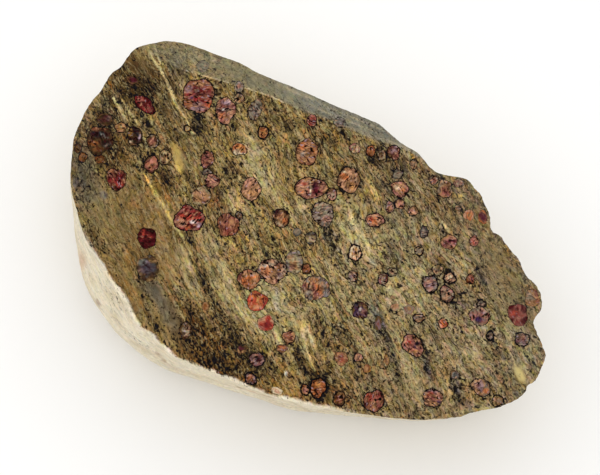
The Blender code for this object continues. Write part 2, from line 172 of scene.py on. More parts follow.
# Soft patches of tone on the rock: column, row, half length, half width, slope, tone,
# strength, and how much they add to the density of dark flecks.
ZONES = [
    (150, 235, 75, 48, 62, "fawn", 0.75, -0.34), (112, 215, 36, 20, 62, "olive", 0.5, -0.22),
    (88, 180, 40, 14, 88, "grey", 0.6, -0.05), (82, 222, 26, 9, 75, "olive", 0.7, 0.0),
    (125, 80, 44, 32, 55, "brown", 0.85, 0.2), (140, 88, 20, 16, 62, "umber", 0.7, 0.25),
    (108, 112, 26, 15, 110, "umber", 0.6, 0.2), (104, 146, 40, 28, 62, "brown", 0.8, 0.12),
    (128, 140, 22, 12, 62, "brown", 0.45, 0.12), (118, 100, 16, 6, 62, "tan", 0.45, -0.1),
    (160, 75, 30, 5, 64, "olive", 0.6, -0.1), (172, 84, 14, 8, 62, "brown", 0.5, 0.2),
    (168, 100, 26, 9, 62, "khaki", 0.4, -0.1), (150, 128, 14, 8, 62, "slate", 0.35, 0.15),
    (190, 150, 46, 10, 66, "tan", 0.5, -0.28), (178, 158, 16, 8, 66, "yellow", 0.5, -0.3),
    (160, 190, 26, 12, 60, "ochre", 0.5, -0.2), (146, 160, 20, 12, 62, "umber", 0.45, 0.22),
    (166, 178, 16, 8, 66, "umber", 0.7, 0.35), (198, 122, 16, 9, 80, "slate", 0.75, 0.38),
    (230, 172, 14, 9, 70, "umber", 0.55, 0.3), (214, 200, 24, 9, 50, "rust", 0.5, 0.06),
    (240, 228, 16, 10, 55, "rust", 0.45, 0.06), (188, 238, 14, 10, 60, "umber", 0.5, 0.2),
    (262, 170, 44, 17, 66, "tan", 0.75, -0.28), (258, 186, 14, 10, 66, "pale", 0.5, -0.3),
    (250, 150, 22, 12, 66, "pale", 0.4, -0.25), (284, 205, 26, 8, 62, "tan", 0.55, -0.2),
    (280, 118, 40, 13, 22, "brown", 0.4, 0.08), (232, 118, 16, 9, 62, "olive", 0.4, 0.15),
    (222, 138, 20, 8, 62, "khaki", 0.4, -0.1), (285, 140, 20, 10, 62, "khaki", 0.45, -0.1),
    (330, 140, 30, 18, 40, "olive", 0.4, 0.05), (385, 160, 24, 12, 30, "umber", 0.6, 0.22),
    (360, 165, 18, 10, 62, "brown", 0.3, 0.1), (355, 232, 28, 16, 62, "pale", 0.65, -0.26),
    (370, 252, 20, 10, 62, "pale", 0.6, -0.28), (345, 206, 16, 10, 62, "tan", 0.4, -0.1),
    (374, 192, 16, 8, 60, "lemon", 0.3, -0.12), (330, 238, 18, 8, 66, "slate", 0.7, 0.36),
    (392, 255, 30, 8, 66, "grey", 0.5, 0.14), (350, 270, 24, 10, 62, "grey", 0.45, 0.14),
    (310, 250, 14, 10, 62, "ochre", 0.35, 0.0), (268, 246, 20, 10, 62, "olive", 0.4, 0.05),
    (215, 262, 56, 15, 64, "tan", 0.75, -0.32), (228, 300, 50, 12, 62, "pale", 0.4, -0.3),
    (190, 275, 40, 9, 68, "tan", 0.6, -0.28), (262, 322, 42, 15, 56, "pale", 0.6, -0.34),
    (284, 300, 22, 10, 62, "tan", 0.55, -0.28), (206, 285, 20, 6, 64, "umber", 0.45, 0.3),
    (150, 282, 20, 14, 62, "slate", 0.6, 0.0), (128, 258, 18, 7, 75, "ochre", 0.55, -0.2),
    (168, 312, 44, 10, 58, "grey", 0.8, -0.3), (160, 300, 22, 6, 60, "slate", 0.4, 0.0),
    (122, 285, 50, 18, 55, "fawn", 0.4, -0.2), (150, 318, 28, 9, 55, "brown", 0.55, 0.0),
    (132, 292, 26, 6, 52, "ochre", 0.5, -0.1), (205, 342, 58, 26, 52, "brown", 0.85, 0.3),
    (228, 322, 38, 12, 58, "umber", 0.6, 0.3), (250, 358, 34, 17, 45, "umber", 0.7, 0.32),
    (222, 350, 26, 7, 50, "ochre", 0.5, -0.1), (200, 330, 20, 6, 58, "rust", 0.4, 0.0),
    (205, 362, 24, 5, 28, "rust", 0.5, 0.1), (285, 372, 22, 9, 62, "ochre", 0.5, -0.12),
    (258, 388, 20, 5, 20, "ochre", 0.45, 0.0), (300, 360, 22, 6, 74, "umber", 0.6, 0.3),
    (318, 382, 22, 17, 70, "umber", 0.8, 0.34), (320, 330, 30, 8, 74, "brown", 0.5, 0.2),
    (300, 330, 26, 7, 74, "tan", 0.5, -0.2), (330, 300, 26, 10, 62, "ochre", 0.4, 0.0),
    (345, 395, 24, 9, 20, "rust", 0.5, 0.16), (340, 335, 24, 12, 62, "brown", 0.45, 0.16),
    (365, 375, 24, 14, 60, "brown", 0.4, 0.12), (378, 318, 30, 8, 70, "slate", 0.55, 0.14),
    (392, 330, 36, 7, 66, "tan", 0.5, -0.14), (392, 360, 30, 7, 70, "slate", 0.5, 0.24),
    (408, 362, 38, 9, 66, "pale", 0.45, -0.26), (473, 409, 24, 2.6, -6, "tan", 0.8, -0.4),
    (414, 392, 26, 12, 66, "tan", 0.5, -0.16), (428, 362, 28, 7, 72, "slate", 0.6, 0.24),
    (436, 370, 24, 5, 66, "khaki", 0.5, -0.1), (400, 215, 40, 24, 62, "grey", 0.35, 0.08),
    (410, 300, 36, 22, 62, "tan", 0.35, 0.0), (456, 300, 22, 12, 30, "slate", 0.5, 0.2),
    (464, 262, 24, 8, 60, "tan", 0.5, -0.1), (470, 355, 26, 15, 30, "tan", 0.6, -0.16),
    (464, 366, 14, 8, 30, "pale", 0.4, -0.2), (486, 345, 40, 9, 56, "grey", 0.4, 0.12),
    (456, 388, 20, 8, 80, "slate", 0.5, 0.24), (448, 388, 16, 6, 80, "yellow", 0.3, -0.1),
    (470, 392, 20, 6, 50, "ochre", 0.4, 0.0), (505, 270, 44, 17, 56, "olive", 0.7, -0.14),
    (500, 320, 40, 12, 66, "olive", 0.5, -0.1), (440, 205, 24, 12, 40, "brown", 0.5, 0.1),
    (480, 225, 22, 8, 66, "olive", 0.5, -0.1), (526, 345, 24, 9, 78, "grey", 0.4, -0.1),
    (508, 372, 20, 8, 50, "olive", 0.4, 0.0), (400, 408, 60, 6, 2, "olive", 0.4, 0.1),
    (138, 64, 24, 14, 50, "umber", 0.55, -0.35), (175, 62, 26, 14, 40, "umber", 0.3, 0.05),
    (170, 180, 26, 20, 62, "brown", 0.45, 0.05), (195, 178, 22, 12, 62, "umber", 0.3, 0.05),
    (92, 242, 22, 14, 70, "umber", 0.3, 0.0), (300, 92, 30, 7, 24, "stone", 0.5, -0.1),
    (420, 240, 22, 14, 60, "stone", 0.35, -0.1), (392, 298, 18, 12, 60, "tan", 0.35, -0.1),
    (240, 212, 36, 12, 60, "pale", 0.35, -0.1), (300, 212, 16, 12, 60, "pale", 0.4, -0.1),
    (266, 300, 30, 18, 60, "pale", 0.35, -0.1), (405, 284, 26, 16, 60, "tan", 0.4, -0.1),
    (210, 362, 40, 14, 35, "umber", 0.4, 0.05), (164, 50, 32, 12, 15, "umber", 0.35, 0.0),
    (296, 300, 56, 36, 60, "pale", 0.3, -0.06), (400, 290, 36, 24, 60, "pale", 0.35, -0.08),
    (482, 330, 18, 15, 60, "pale", 0.4, -0.1), (360, 240, 20, 14, 60, "pale", 0.35, -0.08),
    (300, 92, 30, 8, 24, "pale", 0.35, -0.05), (202, 354, 34, 8, 38, "umber", 0.6, 0.1),
    (236, 373, 34, 7, 28, "umber", 0.5, 0.1), (210, 182, 20, 12, 60, "umber", 0.35, 0.05),
    (104, 285, 62, 18, 55, "umber", 0.35, 0.0), (212, 362, 46, 14, 35, "umber", 0.4, 0.0),
    (480, 330, 18, 14, 60, "pale", 0.5, -0.1), (300, 212, 20, 14, 60, "tan", 0.5, -0.1),
    (275, 300, 20, 14, 60, "pale", 0.4, -0.1), (240, 92, 22, 9, 20, "umber", 0.35, 0.05),
    (210, 272, 14, 12, 60, "brown", 0.4, 0.08), (362, 332, 18, 12, 60, "brown", 0.4, 0.05),
    # The haze and grey patches at (200, 56), (270, 84), (330, 110) and (372, 126) lie on the
    # second facet. They are painted sheen, its reflection of the bright surround, over the
    # facet's own tone.
    (516, 360, 18, 10, 60, "pale", 0.4, -0.1), (200, 56, 44, 10, 14, "haze", 0.6, -0.05),
    (270, 84, 44, 9, 22, "haze", 0.7, -0.12), (330, 110, 40, 8, 22, "grey", 0.6, 0.0),
    (372, 126, 24, 6, 28, "grey", 0.6, 0.1), (216, 57, 6, 5, 0, "pink", 0.5, -0.2),
    (258, 77, 9, 6, 20, "pink", 0.35, -0.2), (411, 155, 6, 3, 62, "yellow", 0.8, -0.4),
    (461, 196, 4, 3, 62, "yellow", 0.7, -0.3), (176, 150, 9, 5, 60, "lemon", 1.0, -0.5),
    (179, 164, 11, 5, 80, "lemon", 0.9, -0.5), (128, 257, 12, 4, 75, "ochre", 0.7, -0.3),
    (105, 101, 7, 5, 62, "slate", 0.7, 0.0), (155, 88, 7, 4, 62, "slate", 0.6, 0.0),
    (103, 195, 5, 5, 0, "blue", 0.6, -0.2), (75, 182, 4, 6, 0, "blue", 0.5, -0.2),
    (286, 373, 3.4, 1.9, 90, "white", 1.0, -0.8), (162, 90, 46, 26, 62, "umber", 0.6, 0.05),
    (176, 66, 22, 10, 70, "slate", 0.6, 0.1), (105, 112, 34, 22, 62, "umber", 0.35, 0.04),
    (80, 170, 44, 16, 85, "slate", 0.6, 0.04), (182, 145, 44, 18, 62, "umber", 0.35, 0.06),
    (350, 285, 76, 44, 60, "pale", 0.32, -0.08), (520, 350, 38, 20, 60, "pale", 0.4, -0.05),
    (470, 340, 60, 36, 60, "stone", 0.35, 0.0), (225, 370, 60, 22, 30, "ochre", 0.5, -0.05),
    (206, 190, 24, 14, 62, "rust", 0.3, 0.0), (92, 250, 26, 10, 80, "umber", 0.4, 0.0),
    (140, 258, 40, 16, 62, "umber", 0.3, 0.0), (228, 366, 36, 14, 35, "brown", 0.55, 0.1),
    (380, 245, 70, 30, 40, "pale", 0.3, -0.06), (415, 300, 40, 24, 50, "pale", 0.3, -0.05),
    (335, 312, 40, 20, 60, "tan", 0.4, -0.1), (372, 318, 22, 9, 70, "steel", 0.6, 0.1),
    (290, 395, 70, 16, 12, "ochre", 0.45, -0.05), (525, 350, 44, 20, 70, "stone", 0.4, -0.05),
    (300, 96, 50, 9, 24, "stone", 0.6, -0.2), (378, 318, 20, 7, 66, "blue", 0.5, 0.1),
    (386, 334, 20, 4, 68, "slate", 0.6, 0.2), (426, 366, 13, 4, 78, "blue", 0.6, 0.2),
    (455, 387, 12, 5, 80, "blue", 0.5, 0.2), (519, 374, 13, 6.5, 60, "yellow", 1.0, -1.0),
    (522, 291, 4, 4, 0, "plum", 0.5, 0.0), (496, 348, 22, 4, 62, "slate", 0.6, 0.15),
    (394, 250, 18, 7, 58, "slate", 0.5, 0.15), (480, 278, 16, 6, 60, "blue", 0.5, 0.15),
    (379, 183, 10, 6, 62, "slate", 0.5, 0.2), (404, 169, 11, 4, 80, "slate", 0.7, 0.2),
    (405, 305, 30, 16, 50, "tan", 0.3, -0.1), (235, 365, 36, 16, 40, "umber", 0.3, 0.0),
    (300, 336, 24, 12, 66, "tan", 0.4, -0.15), (391, 265, 17, 12, 60, "umber", 0.42, 0.08),
    (268, 269, 14, 12, 60, "brown", 0.4, 0.05), (421, 268, 15, 11, 60, "pale", 0.35, -0.06),
    (303, 208, 14, 10, 60, "pale", 0.35, -0.05), (208, 360, 22, 9, 35, "umber", 0.35, 0.05),
    (210, 180, 16, 10, 60, "umber", 0.3, 0.04), (90, 240, 14, 12, 70, "umber", 0.35, 0.0),
]

# Smooth areas with little grain: column, row, half length, half width, slope, calm.
CALMS = [
    (140, 235, 70, 44, 62, 0.35), (215, 262, 50, 14, 64, 0.15), (165, 320, 40, 14, 62, 0.5),
    # The calm bands at (262, 82) and (350, 112) lie on the second facet. They soften its grain as
    # part of its painted sheen.
    (262, 82, 80, 12, 20, 0.6), (138, 60, 24, 13, 50, 0.45), (350, 112, 70, 12, 26, 0.6),
    (505, 290, 60, 20, 62, 0.4), (90, 190, 60, 14, 80, 0.45), (122, 285, 52, 20, 55, 0.45),
    (168, 312, 44, 9, 58, 0.75), (412, 390, 60, 16, 20, 0.2), (179, 158, 17, 6, 74, 0.75),
    (519, 374, 12, 6, 60, 0.9),
]

# Clots of dark amphibole: column, row, half length, half width, slope, strength.
CLOTS = [
    (199, 117, 7, 4.5, 70, 0.8), (198, 131, 7, 3.5, 80, 0.8), (166, 180, 10, 3, 70, 0.8),
    (226, 172, 7, 2.6, 75, 0.8), (229, 187, 3.5, 3, 0, 0.7), (243, 177, 5, 3, 62, 0.7),
    (200, 274, 5, 2.4, 70, 0.9), (204, 283, 6, 2.4, 66, 0.95), (210, 292, 3.5, 2, 60, 0.8),
    (197, 262, 9, 1.6, 72, 0.7), (267, 255, 4, 3, 30, 0.9), (305, 370, 7, 2.2, 88, 1.0),
    (322, 334, 6, 2, 80, 0.95), (320, 347, 4, 1.8, 70, 0.7), (462, 293, 5.5, 1.8, -10, 1.0),
    (453, 303, 4, 3, 20, 0.95), (447, 270, 4, 3, 0, 0.95), (477, 269, 3, 2.6, 0, 0.95),
    (384, 145, 4.5, 3.5, 40, 0.8), (372, 160, 6, 4, 30, 0.85), (406, 165, 9, 3, 70, 0.6),
    (408, 178, 6, 3, 70, 0.55), (442, 178, 4, 2, 20, 0.8), (427, 352, 4, 4, 0, 0.8),
    (189, 240, 5.5, 3, 60, 0.85), (121, 206, 5, 2, 62, 0.6), (138, 168, 5, 2.6, 62, 0.75),
    (383, 184, 5, 2.4, 70, 0.6), (327, 234, 4.5, 3.4, 0, 0.8), (333, 245, 6, 3, 60, 0.85),
    (338, 240, 5, 1.6, 75, 0.8), (309, 243, 5, 2.2, 62, 0.85), (319, 400, 4.5, 3.5, 0, 1.0),
    (399, 286, 3.5, 3, 40, 0.9), (414, 267, 2.6, 2.2, 0, 0.8), (404, 259, 3.4, 1.8, 50, 0.8),
    (406, 251, 3, 2, 0, 0.75), (376, 298, 4, 2, 60, 0.5), (386, 286, 3, 2, 50, 0.7),
    (478, 301, 5, 3, 50, 0.9), (481, 283, 2.6, 2, 80, 0.85), (486, 284, 3, 1.4, 80, 0.8),
    (455, 388, 5, 2.6, 85, 0.8), (459, 396, 4, 2.4, 85, 0.8), (483, 398, 3.4, 2.4, 0, 1.0),
    (426, 368, 3, 4.6, 0, 0.6), (435, 373, 5, 1.8, 75, 0.6), (392, 353, 4, 1.8, 50, 0.8),
    (389, 383, 3.6, 2, 62, 0.85), (346, 330, 3, 2, 0, 0.8), (341, 334, 4, 1.6, 20, 0.7),
    (327, 362, 4, 4, 60, 0.6), (327, 373, 3.4, 2.6, 0, 0.8), (334, 382, 2.4, 4, 0, 0.8),
    (355, 378, 4, 2.4, 40, 0.7), (298, 349, 5, 3, 60, 0.8), (297, 356, 3, 2.4, 0, 0.7),
    (388, 220, 5, 2.4, 70, 0.8), (392, 227, 3, 2, 60, 0.8), (390, 248, 6, 2, 55, 0.6),
    (356, 262, 5, 3.4, 50, 0.6), (335, 265, 2.6, 2, 0, 0.8), (366, 270, 2, 2.6, 0, 0.8),
    (360, 284, 3, 3.4, 50, 0.8), (345, 282, 3, 4, 0, 0.55), (252, 218, 6, 2, 62, 0.7),
    (225, 244, 3, 2.6, 0, 0.8), (217, 243, 5, 1.4, 50, 0.8), (118, 120, 6, 3, 50, 0.7),
    (90, 160, 5, 3, 60, 0.5), (120, 92, 8, 4, 50, 0.6), (142, 80, 8, 4, 40, 0.6),
    (152, 98, 6, 3, 60, 0.6), (164, 120, 5, 2.4, 70, 0.6), (213, 131, 4, 2, 62, 0.6),
    (222, 131, 5, 2, 40, 0.8), (183, 108, 6, 2, 70, 0.6), (292, 104, 4, 2, 20, 0.5),
    (289, 127, 3, 2, 60, 0.6), (277, 143, 4, 2, 70, 0.5), (158, 326, 3.2, 4.4, 0, 1.0),
    (92, 243, 4.4, 4, 0, 0.7), (96, 200, 4, 2, 60, 0.4), (461, 383, 3, 2, 0, 0.7),
    (508, 387, 3.4, 2.4, 0, 0.6), (497, 352, 4, 2.4, 60, 0.7), (499, 364, 2.6, 2.4, 0, 0.7),
    (147, 124, 5, 2.6, 80, 0.95), (425.5, 368, 4.6, 3, 85, 1.0), (320, 400, 5, 4, 0, 1.0),
    (141, 114, 4, 3, 60, 0.85), (461, 332, 2.4, 3, 0, 0.9), (456, 337, 3, 2, 30, 0.8),
    (528, 358, 14, 1.8, 46, 0.8),
]

# Veins, streaks and dark seams, and one painted highlight along the crease: their points, half
# width at the middle, tone, strength.
VEINS = [
    ([(147, 44), (152, 57), (158, 66), (165, 78), (170, 90), (175, 104), (181, 112), (186, 120),
      (193, 133)], 1.9, "wheat", 0.9),
    ([(153, 44), (157, 56), (160, 65)], 1.6, "pale", 0.8),
    ([(111, 95), (117, 105), (125, 118)], 1.8, "wheat", 0.95),
    ([(121, 99), (127, 109), (133, 117), (140, 128), (145, 140), (147, 150)], 1.6, "wheat", 0.85),
    ([(143, 172), (148, 182), (154, 191), (160, 200), (166, 210), (172, 222), (184, 239),
      (192, 256), (198, 270)], 1.9, "yellow", 0.8),
    ([(160, 207), (168, 218), (178, 233)], 1.2, "pale", 0.5),
    ([(302, 314), (306, 326), (311, 338), (316, 350)], 1.9, "wheat", 0.85),
    ([(303, 334), (306, 346), (310, 360), (315, 370)], 2.6, "wheat", 0.8),
    ([(440, 218), (446, 228), (453, 235)], 1.5, "wheat", 0.8),
    ([(455, 246), (462, 256), (466, 266)], 1.5, "wheat", 0.6),
    ([(183, 185), (185, 193), (186, 200)], 1.2, "yellow", 0.6),
    ([(195, 160), (196, 172), (197, 185)], 1.4, "pale", 0.5),
    ([(205, 232), (214, 240), (222, 250), (228, 258)], 1.1, "pale", 0.5),
    ([(226, 237), (233, 243), (240, 254), (247, 266)], 1.2, "yellow", 0.5),
    ([(262, 220), (268, 232), (272, 244), (277, 252)], 1.8, "yellow", 0.45),
    ([(184, 258), (190, 272), (196, 288), (202, 302)], 1.6, "pale", 0.45),
    ([(222, 262), (230, 280), (240, 300), (250, 318)], 3.2, "pale", 0.4),
    ([(272, 288), (278, 294), (284, 302)], 1.1, "pale", 0.6),
    ([(276, 330), (280, 342), (286, 352)], 1.4, "yellow", 0.45),
    ([(400, 352), (406, 364), (412, 376), (419, 386)], 1.6, "wheat", 0.5),
    ([(396, 336), (402, 346), (410, 358), (420, 372)], 1.2, "pale", 0.5),
    ([(484, 330), (492, 346), (501, 360), (507, 372)], 1.0, "tan", 0.5),
    ([(494, 312), (498, 324), (505, 334)], 1.2, "tan", 0.6),
    ([(520, 352), (528, 361), (537, 370)], 1.2, "pale", 0.6),
    ([(392, 228), (398, 240), (404, 252)], 1.1, "pale", 0.35),
    ([(338, 236), (344, 246), (352, 258)], 1.1, "slate", 0.5),
    ([(500, 246), (504, 256), (508, 268)], 1.2, "tan", 0.4),
    ([(225, 345), (232, 352), (240, 362)], 1.8, "ochre", 0.5),
    ([(292, 366), (296, 378), (298, 390)], 1.6, "ochre", 0.5),
    ([(240, 66), (250, 74), (262, 80)], 1.2, "pale", 0.3),
    # Painted highlight: a thin cream line along the crease between the two facets, where the
    # ridge catches the light.
    ([(184, 69), (200, 74), (214, 78), (243, 86), (272, 96), (300, 109)], 0.8, "cream", 0.8),
    ([(162, 208), (172, 226), (180, 244), (186, 262)], 0.8, "brown", 0.5),
    ([(140, 186), (147, 198), (154, 210), (159, 222)], 0.8, "brown", 0.45),
    ([(109, 190), (115, 199), (122, 208), (127, 216)], 1.1, "umber", 0.7),
    ([(174, 236), (182, 250), (190, 266), (196, 284), (200, 298)], 3.6, "tan", 0.6),
    ([(188, 245), (194, 258), (201, 272), (208, 288), (214, 300)], 1.3, "black", 0.65),
    ([(181, 276), (186, 286), (190, 297)], 1.1, "umber", 0.7),
    ([(207, 188), (211, 202), (215, 217), (218, 232)], 1.0, "umber", 0.7),
    ([(245, 200), (251, 213), (258, 228), (266, 240)], 1.1, "umber", 0.7),
    ([(475, 260), (480, 274), (485, 288)], 1.2, "night", 0.75),
    ([(377, 302), (383, 318), (389, 336), (397, 358)], 1.2, "night", 0.65),
    ([(418, 342), (425, 356), (432, 370), (437, 382)], 1.1, "umber", 0.6),
    ([(315, 306), (318, 322), (322, 340), (326, 352)], 1.2, "black", 0.6),
    ([(320, 228), (327, 242), (334, 256)], 1.3, "night", 0.65),
    ([(386, 240), (392, 252), (399, 264)], 1.1, "night", 0.6),
    ([(356, 262), (364, 276), (372, 288)], 1.1, "umber", 0.55),
    ([(228, 300), (236, 314), (246, 330), (254, 342)], 1.3, "umber", 0.6),
    ([(150, 110), (156, 122), (163, 136), (168, 148)], 1.0, "umber", 0.65),
    ([(200, 112), (205, 124), (212, 138), (218, 150)], 1.0, "umber", 0.6),
    ([(240, 128), (247, 140), (254, 152)], 0.9, "umber", 0.5),
    ([(274, 150), (281, 163), (288, 176)], 0.9, "umber", 0.5),
    ([(96, 216), (103, 232), (112, 248), (122, 262)], 1.0, "umber", 0.5),
    ([(511, 360), (512, 370), (516, 380), (523, 389)], 1.0, "umber", 0.7),
    ([(523, 353), (530, 362), (537, 371)], 1.3, "black", 0.9),
    ([(488, 307), (495, 320), (501, 336), (506, 352), (511, 362)], 0.9, "umber", 0.7),
    ([(485, 303), (491, 311), (496, 324), (499, 340)], 1.1, "pale", 0.7),
]
VEIN_TAPER, VEIN_CURVE = 1.2, 4     # how much, and how late, a vein narrows to its ends
VEIN_CLEARING = 0.6                 # what a vein takes from the density of dark flecks

# Stains on the skin: plan angle, height, half width, half height (mm), tone, strength.
SKIN_STAINS = [
    (186, 15, 2.2, 4.0, "blush", 0.7), (193, 9, 3.0, 3.0, "blush", 0.4),
    (205, 16, 3.0, 2.0, "dun", 0.5), (216, 13, 5.0, 1.6, "dun", 0.5),
    (228, 11, 6.0, 1.4, "dun", 0.6), (240, 14, 6.0, 1.2, "dun", 0.6),
    (252, 17, 4.0, 1.6, "blush", 0.6), (262, 12, 8.0, 1.4, "dun", 0.5),
    (285, 14, 7.0, 3.0, "dun", 0.6), (305, 15, 8.0, 3.0, "khaki", 0.4),
    (322, 12, 6.0, 4.0, "dun", 0.7), (340, 14, 5.0, 4.0, "khaki", 0.5),
    (2, 12, 6.0, 5.0, "khaki", 0.6), (20, 14, 6.0, 4.0, "olive", 0.5),
    (40, 12, 8.0, 3.0, "dun", 0.7), (62, 8, 7.0, 4.0, "dun", 0.5),
    (80, 14, 9.0, 2.0, "khaki", 0.4), (104, 9, 8.0, 4.0, "dun", 0.6),
    (128, 13, 7.0, 3.0, "blush", 0.4), (150, 8, 8.0, 4.0, "dun", 0.6),
    (168, 13, 5.0, 4.0, "dun", 0.7),
]
SKIN_GARNETS = 46       # dull garnet spots that show through the skin
GARNET_LEAST, GARNET_MORE = 0.7, 1.3    # half width of the smallest, what the largest has more
GARNET_LOW, GARNET_BAND = 2, 18         # height of the lowest, of the band above it (mm)
GARNET_SHARE = 0.5                      # how strongly they show
